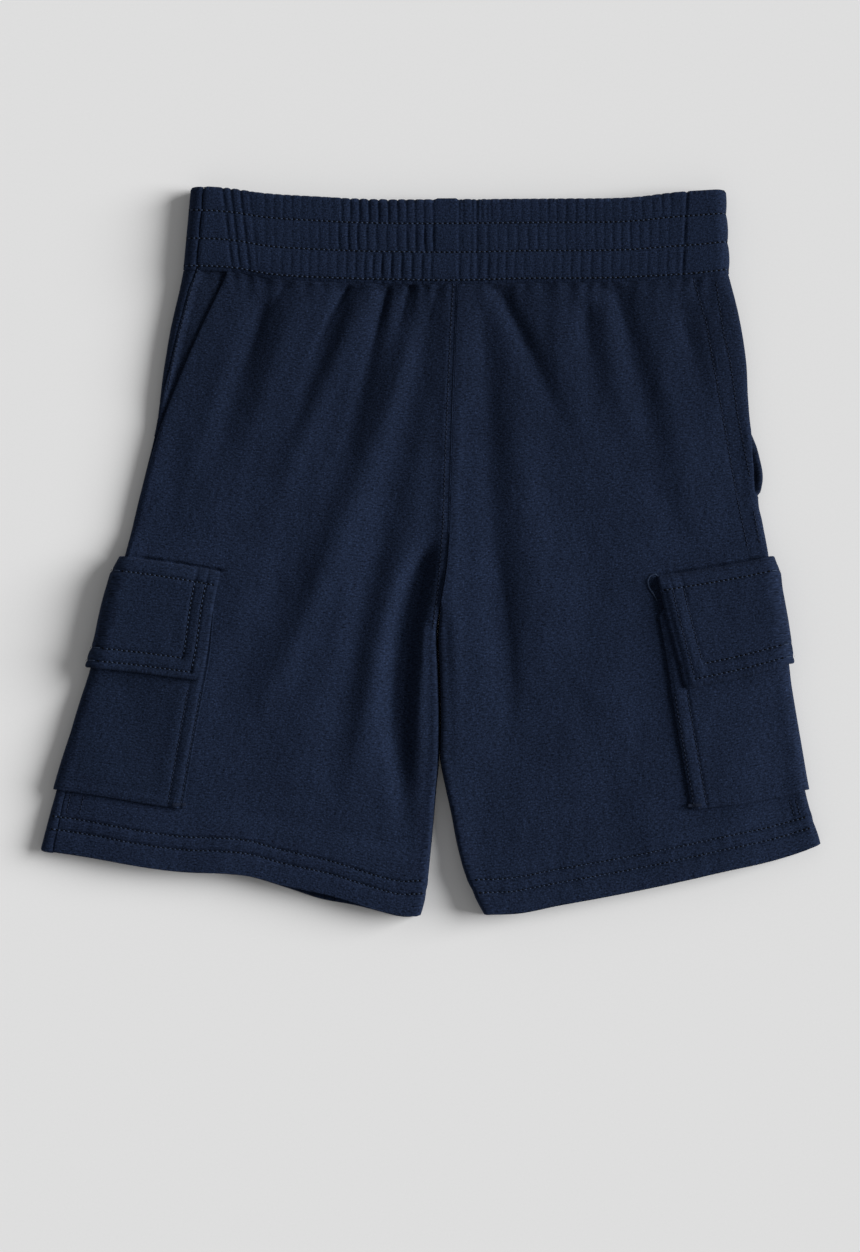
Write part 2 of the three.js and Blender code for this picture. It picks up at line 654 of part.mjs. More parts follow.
const shorts = new THREE.Group();
shorts.add(
  piece('waistband_front', bandHalf(1, FRONT_RIBS), NAVY_BAND),
  piece('waistband_back', bandHalf(-1, BACK_RIBS), NAVY_BAND),
  piece('front_left', frontGeometry(left), NAVY),
  piece('front_right', frontGeometry(right), NAVY),
  piece('back_left', backGeometry(left), NAVY),
  piece('back_right', backGeometry(right), NAVY),
  piece('facing_left', facingGeometry(left, FACING_LOW_LEFT), NAVY_DEEP),
  piece('facing_right', facingGeometry(right, FACING_LOW_RIGHT), NAVY_DEEP),
  piece('cargo_pocket_left', pocketGeometry(left, LEFT_CARGO.pocket), NAVY),
  piece('cargo_pocket_right', pocketGeometry(right, RIGHT_CARGO.pocket), NAVY),
  piece('cargo_flap_left', flapGeometry(left, LEFT_CARGO.flap), NAVY),
  piece('cargo_flap_right', flapGeometry(right, RIGHT_CARGO.flap), NAVY),
);

// Origin: middle of the garment's box, on the surface it lies on
const box = new THREE.Box3().setFromObject(shorts);
const centre = box.getCenter(new THREE.Vector3());
shorts.position.set(-centre.x, -centre.y, -box.min.z);

export default shorts;
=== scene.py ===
"""Child's navy fleece cargo shorts, laid flat on a pale floor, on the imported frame.

Lengths in the tables are millimetres in the garment's own plan: x to the right and y towards the
waist, as seen from above. Points become metres in the row frame when a mesh is made.
"""
import logging
import math
from dataclasses import dataclass, field
from enum import Enum
from typing import Callable

import bpy
import numpy as np
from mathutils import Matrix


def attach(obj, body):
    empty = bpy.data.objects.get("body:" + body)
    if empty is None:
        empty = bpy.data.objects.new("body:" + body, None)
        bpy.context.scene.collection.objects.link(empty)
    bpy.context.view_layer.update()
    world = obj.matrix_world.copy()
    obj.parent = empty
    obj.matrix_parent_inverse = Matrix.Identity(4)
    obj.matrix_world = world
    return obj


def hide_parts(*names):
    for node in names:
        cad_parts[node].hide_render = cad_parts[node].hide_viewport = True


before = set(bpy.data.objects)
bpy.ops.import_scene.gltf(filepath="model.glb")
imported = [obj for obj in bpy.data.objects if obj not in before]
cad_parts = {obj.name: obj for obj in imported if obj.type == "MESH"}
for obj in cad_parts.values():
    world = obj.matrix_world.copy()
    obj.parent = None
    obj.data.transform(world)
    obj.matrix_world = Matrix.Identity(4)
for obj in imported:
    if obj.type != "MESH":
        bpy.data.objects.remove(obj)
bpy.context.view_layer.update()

LOG = logging.getLogger("shorts")
SHIFT = np.array([-0.3419, 0.2534, 0.0])
METRE = 0.001

WALL = 1.8
HEM_WALL = 3.2
HEM_DEPTH = 22.0
BAND_WALL = 4.0
POCKET_WALL = 1.6
FLAP_WALL = 2.6
FACING_WALL = 1.4
GAP = 0.3
HALF_GAP = GAP / 2
BAND_GAP = 0.6
WAIST_GAP = 0.5
BAND_ROLL = 6.4
BAND_HEIGHT = 40.5
BAND_SEAM_LEFT = 10.5
BAND_SEAM_RIGHT = -8.0
BAND_ROWS = (1.6, 15.0, 28.8)
RIM_RINGS = 3
GROOVE = 0.8
HEM_ROWS = (11.7, 18.2)
SIDE_CLEAR = 1.6
INNER_CLEAR = 1.8
INSEAM_LIFT = 0.36
NOMINAL = 180.0
PEEK_X = -53.0
CROTCH_Y = -41.0
CROTCH_BLEND = 16.0
GAP_Y = -112.0
SOFT_FLOOR = 0.7
INSEAM_SQUARE = 0.5
SIDE_EASE = 40.0
MIN_TOP = 3.9
POCKET_OUT = 0.5
FLAP_OUT = 2.4
FLAP_SEAT = 9.0
POCKET_BACK = 62.0
FLAP_BACK = 58.0
STACK_EASE = 16.0
FACING_INSET = 2.3
FACING_TURN = 4.0
FACING_UNDERLAP = 7.0
FOLD_EDGE_EASE = 8.0
QUARTER = math.pi / 2

# Side outlines: height, outline x, and how far round from it the side seam and the mouth lie
LEFT_SIDE = np.array([
    (-149.8, -195.2, 9.0, 9.0), (-131.8, -190.5, 8.0, 8.0), (-117.2, -186.3, 6.5, 6.5),
    (-92.0, -178.6, 4.0, 4.0), (-64.2, -169.8, 1.5, 1.5), (-44.2, -163.4, 0.5, 0.5),
    (-22.8, -158.5, 0.0, 0.0), (-2.2, -152.8, 0.0, 0.0), (24.8, -146.4, 0.0, 0.0),
    (40.0, -142.6, 0.0, 0.6), (63.5, -137.0, 0.2, 4.4), (90.8, -133.4, 5.4, 12.0),
    (115.2, -129.2, 7.0, 18.5), (132.0, -125.2, 7.8, 23.0), (141.0, -123.4, 10.0, 25.5),
])
RIGHT_SIDE = np.array([
    (-146.9, 195.8, -8, -8), (-135.8, 192.2, -8, -8), (-120.1, 188.2, -8, -8),
    (-99.8, 184.6, -8, -8), (-66.2, 179.0, -8, -8), (-45.2, 176.0, -8, -8),
    (-21.0, 172.0, -8, -8), (2.3, 169.0, -8, -8), (16.5, 166.6, -8, -8), (25.8, 164.6, -8, -1.0),
    (31.0, 166.3, -8, 7.0), (38.0, 167.2, -8, 8.4), (49.5, 165.0, -8, 6.8),
    (62.0, 161.4, -8, 2.0), (75.8, 159.8, -8, 1),
    (95.8, 158.7, -8, 1), (119.2, 154.9, -8, 1), (139.3, 149.7, -8, 1),
])
# Inseam below the crotch and rise seam above it: height, x
LEFT_INNER = np.array([
    (-182.5, -5.1), (-168.8, -2.0), (-147.6, 0.5), (-117.5, 3.2), (-104.0, 4.5), (-84.2, 4.9),
    (-59.8, 4.3), (-41.0, 3.6), (-27.8, 5.0), (-5.6, 8.4), (35.8, 10.3), (79.2, 11.6), (133.6, 13.8),
])
RIGHT_INNER = np.array([
    (-182.1, 27.8), (-172.5, 23.0), (-160.7, 17.6), (-146.8, 13.8), (-131.5, 10.9), (-117.5, 7.8),
    (-104.0, 5.3), (-84.2, 5.4), (-59.8, 4.8), (-41.0, 4.1), (-27.8, 5.4), (-5.6, 8.8),
    (35.8, 10.7), (79.2, 12.0), (133.6, 14.2),
])
# Lower edges of the legs, waist seam and waist edge: x, height
LEFT_HEM = np.array([
    (-195.2, -149.8), (-172.8, -153.1), (-144.2, -158.2), (-126.7, -160.5), (-91.5, -162.7),
    (-74.6, -167.2), (-47.8, -173.2), (-25.5, -180.2), (-13.3, -183.0), (-5.1, -182.5),
])
RIGHT_HEM = np.array([
    (27.8, -182.1), (45.3, -181.4), (65.0, -177.5), (100.0, -171.0), (126.8, -165.3),
    (146.8, -160.7), (172.3, -155.0), (192.4, -148.4), (195.8, -146.9),
])
WAIST_SEAM = np.array([
    (-123.4, 141.0), (-98.5, 140.0), (-78.7, 136.6), (-54.0, 135.0), (-21.5, 134.1), (14.0, 133.6),
    (44.5, 134.5), (89.3, 134.8), (111.5, 135.8), (134.0, 137.2), (149.7, 139.3),
])
WAIST_EDGE = np.array([
    (-119.6, 182.4), (-100.5, 181.2), (-84.6, 178.9), (-58.0, 177.1), (-28.3, 175.7),
    (14.0, 175.7), (64.7, 176.0), (100.5, 176.6), (122.7, 179.2), (147.6, 180.8),
])
# Layers along the side: height, what lies below, outline roll, inseam roll, height of the middle
LAYERS = np.array([
    (-165, 0, 4.1, 4.2, 11.4), (-124.4, 0, 4.1, 4.2, 11.4), (-119.5, 2.1, 3.2, 3.2, 10),
    (-66, 2.1, 2.9, 3, 9.8), (-58, 5.0, 2.9, 3, 9.8), (0, 5.0, 2.9, 3, 9.8), (12, 0, 4.2, 3, 9.8),
    (60, 0, 4.5, 3, 9.8), (120, 0, 4.8, 3, 10), (142, 0, 5.8, 3, 11),
])


class Section(Enum):
    """Cross-section of a fold."""

    SOFT = "soft"
    SHARP = "sharp"


@dataclass(frozen=True)
class Fold:
    """A ridge or trough along a curve through three points of the plan."""

    top: tuple[float, float]
    mid: tuple[float, float]
    low: tuple[float, float]
    half: float
    rise: float
    head: float
    tail: float
    section: Section = Section.SOFT

    def height(self, x: np.ndarray, y: np.ndarray) -> np.ndarray:
        """Height of this fold over the plan.

        The centre line is the straight line from top to low plus a parabola through mid. The
        section is a bell, or a narrow-bottomed valley when the fold is sharp.

        Args:
            x: Plan x of each point.
            y: Plan y of each point.

        Returns:
            Height at each point, negative in a trough.
        """
        span = self.top[1] - self.low[1]
        along = np.clip((self.top[1] - y) / span, 0, 1)
        bend = (self.top[1] - self.mid[1]) / span
        straight = self.top[0] + (self.low[0] - self.top[0]) * along
        sag = self.mid[0] - (self.top[0] + (self.low[0] - self.top[0]) * bend)
        centre = straight + sag * along * (1 - along) / (bend * (1 - bend))
        fade = smooth(along, 0, self.head) * smooth(1 - along, 0, self.tail)
        across = (x - centre) / self.half
        if self.section is Section.SHARP:
            shape = np.exp(0.3 - np.sqrt(across**2 * 2.2 + 0.09))
        else:
            shape = np.exp(-(across**2))
        return self.rise * fade * shape


FOLDS = (
    Fold((-81, 132), (-95, 90), (-118, 20), 6.5, -2.2, 0.1, 0.7),
    Fold((-90, 128), (-110, 62), (-132, 5), 7, 1.2, 0.25, 0.6),
    Fold((-64, 132), (-86, 68), (-100, 25), 7, 1.6, 0.2, 0.6),
    Fold((-40, 134), (-54, 98), (-76, 40), 5, -2.4, 0.04, 0.8),
    Fold((-31, 130), (-58, 70), (-88, -10), 7, 1.8, 0.15, 0.6),
    Fold((-21, 134), (-31, 92), (-50, 20), 4.5, -2.4, 0.04, 0.8),
    Fold((-9, 134), (-14, 116), (-22, 92), 4, -1.6, 0.04, 0.7),
    Fold((-6, 120), (-33, 40), (-98, -110), 8.5, 2.8, 0.15, 0.35),
    Fold((3, 132), (-20, 25), (-55, -125), 8, -1.8, 0.1, 0.3),
    Fold((-8, 28), (-25, -50), (-45, -152), 8, 2.2, 0.3, 0.35),
    Fold((-68, 10), (-86, -35), (-112, -100), 10, -1.5, 0.3, 0.4),
    Fold((2, 12), (-8, -24), (-15, -52), 5, -4.5, 0.35, 0.3),
    Fold((-11, -18), (-14, -80), (-12, -150), 5.0, -6.0, 0.25, 0.55),
    Fold((-1, 4), (-18.5, -62), (-15, -132), 6, -5.0, 0.2, 0.6),
    Fold((1, 6), (-11.5, -62), (-11.5, -128), 3.4, -4.5, 0.2, 0.6),
    Fold((4, -16), (-3.6, -66), (-3, -138), 3.4, 1.2, 0.2, 0.6),
    Fold((28, 128), (31, 25), (40, -112), 7, -2.0, 0.1, 0.3),
    Fold((12.5, 112), (10, 10), (9, -118), 6, 2.2, 0.3, 0.3),
    Fold((34, 134), (50, 98), (74, 48), 5.5, -2.4, 0.04, 0.7),
    Fold((40, 110), (49, 20), (54, -90), 9, 1.6, 0.3, 0.5),
    Fold((78, 128), (79, 95), (86, 50), 6, -1.5, 0.1, 0.7),
    Fold((93, 134), (102, 98), (120, 30), 6, -1.6, 0.04, 0.7),
    Fold((86, 130), (92, 95), (104, 40), 6, 1.3, 0.2, 0.6),
    Fold((126, 130), (131, 100), (140, 70), 5, -1.4, 0.2, 0.6),
    Fold((110, 120), (119, 75), (132, 5), 8, 1.3, 0.3, 0.5),
)
CREASES = (
    Fold((-82, 127), (-87, 108), (-95, 88), 2.6, -1.1, 0.2, 0.6, Section.SHARP),
    Fold((-73, 134), (-76, 127), (-81, 120), 1.8, -0.9, 0.1, 0.6, Section.SHARP),
    Fold((-40, 134), (-48, 120), (-64, 84), 1.7, -2.1, 0.03, 0.8, Section.SHARP),
    Fold((-20, 134), (-24, 120), (-32, 92), 1.7, -2.1, 0.03, 0.8, Section.SHARP),
    Fold((-9.8, 134), (-12.5, 124), (-17, 110), 1.6, -1.8, 0.03, 0.8, Section.SHARP),
    Fold((3, 131), (1, 122), (-2, 110), 2.0, -0.8, 0.05, 0.6, Section.SHARP),
    Fold((-8, 118), (-16, 82), (-29, 48), 3.4, 0.8, 0.3, 0.5),
    Fold((34, 132), (44, 113), (61, 78), 2.2, -1.5, 0.08, 0.8, Section.SHARP),
    Fold((26, 126), (27, 100), (28, 70), 3.0, -0.7, 0.2, 0.7, Section.SHARP),
    Fold((93, 131), (98, 111), (104, 92), 2.6, -0.6, 0.1, 0.6, Section.SHARP),
    Fold((78, 124), (79, 108), (80, 88), 2.8, -0.7, 0.2, 0.7, Section.SHARP),
    Fold((126, 116), (128, 108), (129, 98), 2.8, -0.8, 0.2, 0.6, Section.SHARP),
    Fold((61, 122), (64, 100), (63, 75), 3.6, 0.6, 0.3, 0.6),
    Fold((0, 8), (-15, -48), (-16, -128), 2.6, -1.6, 0.2, 0.35, Section.SHARP),
    Fold((-3.5, -31), (-1, -36), (3, -42), 1.2, -1.3, 0.3, 0.3, Section.SHARP),
    Fold((30, 12), (39.5, -40), (40, -104), 3.6, -0.9, 0.3, 0.5, Section.SHARP),
    Fold((-25, 9), (-36, -32), (-40, -70), 5, -0.8, 0.3, 0.5),
    Fold((112, 40), (124, 10), (134, -8), 7, -0.7, 0.3, 0.4),
    Fold((72, 10), (66, -30), (60, -70), 9, 0.7, 0.4, 0.5),
    Fold((100, -118), (106, -134), (110, -150), 8, 0.8, 0.3, 0.4),
    Fold((70, -60), (84, -100), (92, -140), 9, -0.7, 0.3, 0.4),
    Fold((-130, 40), (-138, 22), (-144, 2), 5, 0.6, 0.3, 0.5),
)


def smooth(value: np.ndarray, low: float, high: float) -> np.ndarray:
    """Smooth step of value from 0 at low to 1 at high."""
    t = np.clip((np.asarray(value, float) - low) / (high - low), 0, 1)
    return t * t * (3 - 2 * t)


def mix(a: np.ndarray, b: np.ndarray, t: np.ndarray) -> np.ndarray:
    """Straight mix from a at 0 to b at 1."""
    return a + (b - a) * t


def bell(value: np.ndarray, at: float, width: float) -> np.ndarray:
    """Bell curve of value: 1 at its middle, falling off over width."""
    return np.exp(-(((value - at) / width) ** 2))


class Curve:
    """Smooth curve through a table, with natural ends, constant beyond them."""

    def __init__(self, keys: np.ndarray, values: np.ndarray) -> None:
        """Sort the table by its keys."""
        order = np.argsort(keys)
        self.keys, self.values = keys[order].astype(float), values[order].astype(float)

    def __call__(self, at: np.ndarray) -> np.ndarray:
        """Value at each key: a cubic between two rows whose slopes look at the rows beside them."""
        keys, values, last = self.keys, self.values, len(self.keys) - 1
        t = np.clip(at, keys[0], keys[-1])
        i = np.clip(np.searchsorted(keys, t, side="right"), 1, last)
        before = np.where(i >= 2, i - 2, i)
        after = np.where(i < last, i + 1, i - 1)
        half = (keys[i] - keys[i - 1]) / 2
        wp, wn = half / (keys[i - 1] - keys[before]), half / (keys[after] - keys[i])
        p = (t - keys[i - 1]) / (2 * half)
        sp = -wp * p**3 + 2 * wp * p**2 - wp * p
        s0 = (1 + wp) * p**3 + (-1.5 - 2 * wp) * p**2 + (-0.5 + wp) * p + 1
        s1 = (-1 - wn) * p**3 + (1.5 + wn) * p**2 + 0.5 * p
        sn = wn * p**3 - wn * p**2
        return sp * values[before] + s0 * values[i - 1] + s1 * values[i] + sn * values[after]


def steps(table: np.ndarray, column: int) -> Callable[[np.ndarray], np.ndarray]:
    """Straight-line reading of one column of a table over its first column."""
    return lambda at: np.interp(at, table[:, 0], table[:, column])


waist_seam = Curve(WAIST_SEAM[:, 0], WAIST_SEAM[:, 1])
waist_edge = Curve(WAIST_EDGE[:, 0], WAIST_EDGE[:, 1])
under, roll, inseam, middle = (steps(LAYERS, k) for k in (1, 2, 3, 4))


@dataclass
class Row:
    """A line of sewing in the plan."""

    points: np.ndarray

    def stretches(self) -> tuple[np.ndarray, np.ndarray]:
        """Length of each stretch, and how far along the row each point lies."""
        lengths = np.linalg.norm(np.diff(self.points, axis=0), axis=1)
        return lengths, np.concatenate([[0], np.cumsum(lengths)])

    def nearest(self, x: np.ndarray, y: np.ndarray) -> tuple[np.ndarray, np.ndarray]:
        """Distance to the row and length along it for each plan point.

        Args:
            x: Plan x.
            y: Plan y.

        Returns:
            Distance to the nearest point of the row, and how far along the row that point lies.
        """
        best, along = np.full(np.shape(x), 1e9), np.zeros(np.shape(x))
        lengths, starts = self.stretches()
        for a, b, size, start in zip(self.points, self.points[1:], lengths, starts):
            d = (b - a) / size
            t = np.clip((x - a[0]) * d[0] + (y - a[1]) * d[1], 0, size)
            distance = np.hypot(x - a[0] - d[0] * t, y - a[1] - d[1] * t)
            closer = distance < best
            best, along = np.where(closer, distance, best), np.where(closer, start + t, along)
        return best, along

    def resample(self, pitch: float) -> np.ndarray:
        """Points at even steps of about pitch along the row."""
        starts = self.stretches()[1]
        count = max(int(starts[-1] / pitch), 1)
        at = np.linspace(0, starts[-1], count + 1)
        return np.stack([np.interp(at, starts, self.points[:, k]) for k in (0, 1)], axis=1)


def pixels(*points: tuple[float, float]) -> Row:
    """Row through points read off the photograph, two of its pixels to the millimetre."""
    p = np.array(points, float)
    return Row(np.stack([(p[:, 0] - 430) / 2, (551.5 - p[:, 1]) / 2], axis=1))


def groove(rows: list[tuple[Row, float]], x: np.ndarray, y: np.ndarray) -> np.ndarray:
    """Sunk line with soft puckers beside it for each row.

    Args:
        rows: Lines of sewing, each with how deep the thread pulls the cloth in.
        x: Plan x.
        y: Plan y.

    Returns:
        Height to add, mostly negative: a narrow bell along the row, and ripples across it whose
        length wanders between 5 and 9 mm and that fade over 4 mm.
    """
    height = np.zeros(np.shape(x))
    for k, (row, depth) in enumerate(rows):
        distance, along = row.nearest(x, y)
        wander = along + 1.7 * np.sin(along / 11.3 + k) + 0.8 * np.sin(along / 4.7 + 2 * k)
        pull = 1 + 0.25 * np.sin(along / 3.1 + k * 1.7)
        height -= depth * pull * bell(distance, 0, 0.8)
        height += 0.14 * np.sin(wander * 2 * math.pi / 6.8) * bell(distance, 0, 3.2)
    return height


class Unevenness:
    """Low swells of worn cloth: a fixed sum of long waves that lean along the garment."""

    def __init__(self, seed: int, height: float, shortest: float, longest: float) -> None:
        """Draw the waves once from a seed."""
        rng = np.random.default_rng(seed)
        lean = rng.normal(0, 0.5, 9)
        length = rng.uniform(shortest, longest, 9)
        self.kx = 2 * math.pi * np.cos(lean) / length
        self.ky = 2 * math.pi * np.sin(lean) / length
        self.phase = rng.uniform(0, 2 * math.pi, 9)
        self.height = height / 3

    def __call__(self, x: np.ndarray, y: np.ndarray) -> np.ndarray:
        """Height at each plan point."""
        total = np.zeros(np.shape(x))
        for kx, ky, phase in zip(self.kx, self.ky, self.phase):
            total += np.sin(kx * x + ky * y + phase)
        return total * self.height


SWELL = Unevenness(5, 0.42, 26, 70)
RIPPLE = Unevenness(11, 0.12, 7, 16)


def gathers(x: np.ndarray, y: np.ndarray) -> np.ndarray:
    """Small gathers that the elastic draws into the cloth just below the band.

    Ripples across x whose step wanders about 9 mm, strongest at the seam, gone 20 mm below it.
    """
    below = waist_seam(x) - y
    phase = 2 * math.pi * x / 8.6 + 1.5 * np.sin(x / 17) + 1.1 * np.sin(x / 7.3 + 1)
    strength = 0.75 + 0.25 * np.sin(x / 12.1 + 2)
    lean = phase + below * 0.05 * np.sin(x / 60)
    return 0.62 * strength * np.sin(lean) * np.exp(-np.clip(below, 0, None) / 7.5)


class Half:
    """One half of the body: the flattened ring from its side outline to its inner edge."""

    def __init__(self, side: np.ndarray, inner: np.ndarray, hem: np.ndarray) -> None:
        """Make the outline curves of this half."""
        self.side_x, self.inner_x = Curve(side[:, 0], side[:, 1]), Curve(inner[:, 0], inner[:, 1])
        self.hem_y = Curve(hem[:, 0], hem[:, 1])
        self.seam, self.mouth = steps(side, 2), steps(side, 3)
        self.low_side, self.high_side = side[0, :2], side[-1, :2]
        self.low_inner, self.high_inner = inner[0, :2], inner[-1, :2]
        self.rows: list[tuple[Row, float]] = []
        self.sign = 1.0 if side[0, 1] < 0 else -1.0

    def side_y(self, v: np.ndarray) -> np.ndarray:
        """Height on the side outline of row v."""
        return mix(self.low_side[0], self.high_side[0], v)

    def row_at(self, y: np.ndarray) -> np.ndarray:
        """Row whose height on the side outline is y."""
        return (y - self.low_side[0]) / (self.high_side[0] - self.low_side[0])

    def inner_y(self, v: np.ndarray) -> np.ndarray:
        """Height on the inner edge of row v."""
        return mix(self.low_inner[0], self.high_inner[0], v)

    def width(self, v: np.ndarray) -> np.ndarray:
        """Length of row v in the plan."""
        across = self.inner_x(self.inner_y(v)) - self.side_x(self.side_y(v))
        return np.hypot(across, self.inner_y(v) - self.side_y(v))

    def plan(self, u: np.ndarray, v: np.ndarray) -> tuple[np.ndarray, np.ndarray]:
        """Plan point at share u from the side to the inner edge and row v from hem to waist.

        A straight line between both edges, bowed by the hem's curve below and the waist seam's
        above, each fading with the square of the row.
        """
        x = mix(self.side_x(self.side_y(v)), self.inner_x(self.inner_y(v)), u)
        hem_x = mix(self.low_side[1], self.low_inner[1], u)
        waist_x = mix(self.high_side[1], self.high_inner[1], u)
        hem_bow = self.hem_y(hem_x) - mix(self.low_side[0], self.low_inner[0], u)
        straight = mix(self.high_side[0], self.high_inner[0], u)
        waist_bow = waist_seam(waist_x) - WAIST_GAP - straight
        y = mix(self.side_y(v), self.inner_y(v), u) + hem_bow * (1 - v) ** 2 + waist_bow * v**2
        return x, y

    def parting(self, v: np.ndarray) -> np.ndarray:
        """How far the legs are parted at row v: 0 at the rise, 1 below the crotch."""
        return 1 - smooth(self.inner_y(v), CROTCH_Y, CROTCH_Y + CROTCH_BLEND)

    def flat_end(self, v: np.ndarray) -> np.ndarray:
        """Where the flat stretch ends on the cloth, counted from the outline."""
        y = self.side_y(v)
        return (QUARTER - 1) * roll(y) + self.width(v) - inseam(y)

    def relief(self, x: np.ndarray, y: np.ndarray) -> np.ndarray:
        """Fine form that the front cloth has besides its main folds."""
        height = sum(fold.height(x, y) for fold in CREASES)
        height += SWELL(x, y) + RIPPLE(x, y) * 0.6 + gathers(x, y)
        height += 0.7 * smooth(y - waist_seam(x), -4, -0.5)
        return height + groove(self.rows, x, y)

    def top(self, v: np.ndarray, distance: np.ndarray) -> np.ndarray:
        """Height of the front's outer face at a distance from the outline."""
        y, rest = self.side_y(v), self.width(v) - distance
        px, py = self.plan(distance / self.width(v), v)
        edge = under(y) + 2 * roll(y)
        open_height = mix(edge, middle(y), smooth((distance - roll(y)) / SIDE_EASE, 0, 1))
        turn = inseam(y)
        fade_side = smooth((distance - roll(y)) / FOLD_EDGE_EASE, 0, 1)
        fade_inner = mix(1, smooth((rest - turn) / FOLD_EDGE_EASE, 0, 1), self.parting(v))
        fade = fade_side * fade_inner
        folds = sum(fold.height(px, py) for fold in FOLDS) * fade
        free = open_height + folds - MIN_TOP
        main = MIN_TOP + SOFT_FLOOR * np.logaddexp(0, free / SOFT_FLOOR)
        return main + self.relief(px, py) * mix(0.25, 1, fade)

    def bottom(self, v: np.ndarray, distance: np.ndarray) -> np.ndarray:
        """Height of the back's outer face: what it lies on."""
        stack = 1 - smooth(distance, POCKET_BACK, POCKET_BACK + STACK_EASE)
        return under(self.side_y(v)) * stack

    def at(self, v: np.ndarray, reach: np.ndarray, out: np.ndarray) -> np.ndarray:
        """Points of the cloth.

        Args:
            v: Row, 0 at the hem and 1 at the waist.
            reach: Length round the cloth from the outline, positive on the front.
            out: Distance beyond the outer face.

        Returns:
            Points in millimetres, last axis x, y, z. Near the outline they turn round its roll,
            then run flat, and at the inseam turn down a quarter circle.
        """
        v, reach, out = np.broadcast_arrays(*(np.asarray(a, float) for a in (v, reach, out)))
        y, width, end = self.side_y(v), self.width(v), self.flat_end(v)
        radius, face, far = roll(y), np.where(reach >= 0, 1.0, -1.0), np.abs(reach)
        turn = QUARTER * radius
        angle = np.minimum(far, turn) / radius
        rolled = self.plan((radius - (radius + out) * np.cos(angle)) / width, v)
        rolled_z = under(y) + radius + face * (radius + out) * np.sin(angle)
        flat = np.clip(far, turn, end)
        distance = radius + flat - turn
        edge, parting = inseam(y), self.parting(v)
        tip = np.clip((far - flat) / edge, 0, QUARTER)
        pushed = (edge + out * parting) * np.sin(tip) ** INSEAM_SQUARE
        spread = self.plan((distance + pushed) / width, v)
        height = np.where(face > 0, self.top(v, distance), self.bottom(v, distance))
        clear = HALF_GAP * parting * tip / QUARTER
        drop = np.where(face > 0, height - edge, edge) * (1 - np.cos(tip)) * parting
        lift = out * mix(1, np.cos(tip), parting) - drop + clear
        near = far < turn
        x = np.where(near, rolled[0], spread[0])
        z = np.where(near, rolled_z, height + face * lift)
        return np.stack([x, np.where(near, rolled[1], spread[1]), z], axis=-1)

    def locate(self, x: np.ndarray, y: np.ndarray) -> tuple[np.ndarray, np.ndarray]:
        """Row and reach of plan points on the front, by repeated correction of the row."""
        v = self.row_at(np.asarray(y, float))
        for _ in range(14):
            left, right = self.side_x(self.side_y(v)), self.inner_x(self.inner_y(v))
            u = (x - left) / (right - left)
            v = v + (y - self.plan(u, v)[1]) / (self.high_side[0] - self.low_side[0])
        distance, radius = u * self.width(v), roll(self.side_y(v))
        edge = inseam(self.side_y(v))
        over = np.clip((distance - (self.width(v) - edge)) / edge, 0, 1)
        turned = radius * np.arccos(np.clip(1 - distance / radius, -1, 1))
        flat = np.minimum(distance - radius + QUARTER * radius, self.flat_end(v))
        flat = flat + np.arcsin(over ** (1 / INSEAM_SQUARE)) * edge
        return v, np.where(distance < radius, turned, flat)


LEFT = Half(LEFT_SIDE, LEFT_INNER, LEFT_HEM)
RIGHT = Half(RIGHT_SIDE, RIGHT_INNER, RIGHT_HEM)


def closed_shell(
    outer: np.ndarray, inner: np.ndarray, bulge: tuple[float, float, float, float]
) -> tuple[np.ndarray, np.ndarray]:
    """Closed cloth between two grids of points, with a rounded rim.

    Ring k of the rim is the middle of both borders, plus half their difference times the cosine
    of its angle, plus half their distance outwards times the sine.

    Args:
        outer: Outer grid, shape (columns, rows, 3).
        inner: Inner grid of the same shape.
        bulge: How round the rim is at first column, last column, first row and last row.

    Returns:
        Vertices and quads.
    """
    columns, rows = outer.shape[:2]
    push = np.zeros_like(outer)
    away = np.zeros((columns, rows))
    for part, inside, amount in (
        (np.s_[0, :], np.s_[1, :], bulge[0]),
        (np.s_[-1, :], np.s_[-2, :], bulge[1]),
        (np.s_[:, 0], np.s_[:, 1], bulge[2]),
        (np.s_[:, -1], np.s_[:, -2], bulge[3]),
    ):
        step = outer[part] - outer[inside]
        step /= np.linalg.norm(step, axis=-1, keepdims=True) + 1e-9
        push[part] += step * amount
        away[part] = np.maximum(away[part], amount)
    number = np.arange(columns * rows).reshape(columns, rows)
    loop = border(number)
    o, i = outer.reshape(-1, 3), inner.reshape(-1, 3)
    p = push.reshape(-1, 3)[loop]
    size = np.linalg.norm(p, axis=1, keepdims=True)
    p = p / np.maximum(size, 1e-6) * np.minimum(size, away.reshape(-1)[loop][:, None])
    thick = np.linalg.norm(o[loop] - i[loop], axis=1, keepdims=True)
    angles = np.linspace(0, math.pi, RIM_RINGS + 2)[1:-1]
    rim = [
        (o[loop] + i[loop]) / 2 + (o[loop] - i[loop]) / 2 * math.cos(a) + p * thick / 2 * math.sin(a)
        for a in angles
    ]
    base = columns * rows
    tracks = [loop]
    tracks += [2 * base + k * len(loop) + np.arange(len(loop)) for k in range(RIM_RINGS)]
    tracks += [loop + base]
    quads = [grid_quads(number), grid_quads(number)[:, ::-1] + base]
    for a, b in zip(tracks, tracks[1:]):
        quads.append(np.stack([np.roll(a, -1), a, b, np.roll(b, -1)], axis=1))
    return np.concatenate([o, i, *rim]), np.concatenate(quads)


def border(number: np.ndarray) -> np.ndarray:
    """Vertex numbers once round the edge of a grid."""
    return np.concatenate([number[:-1, 0], number[-1, :-1], number[:0:-1, -1], number[0, :0:-1]])


def grid_quads(number: np.ndarray) -> np.ndarray:
    """Quads of a grid of vertex numbers."""
    corners = (number[:-1, :-1], number[1:, :-1], number[1:, 1:], number[:-1, 1:])
    return np.stack([c.ravel() for c in corners], axis=1)


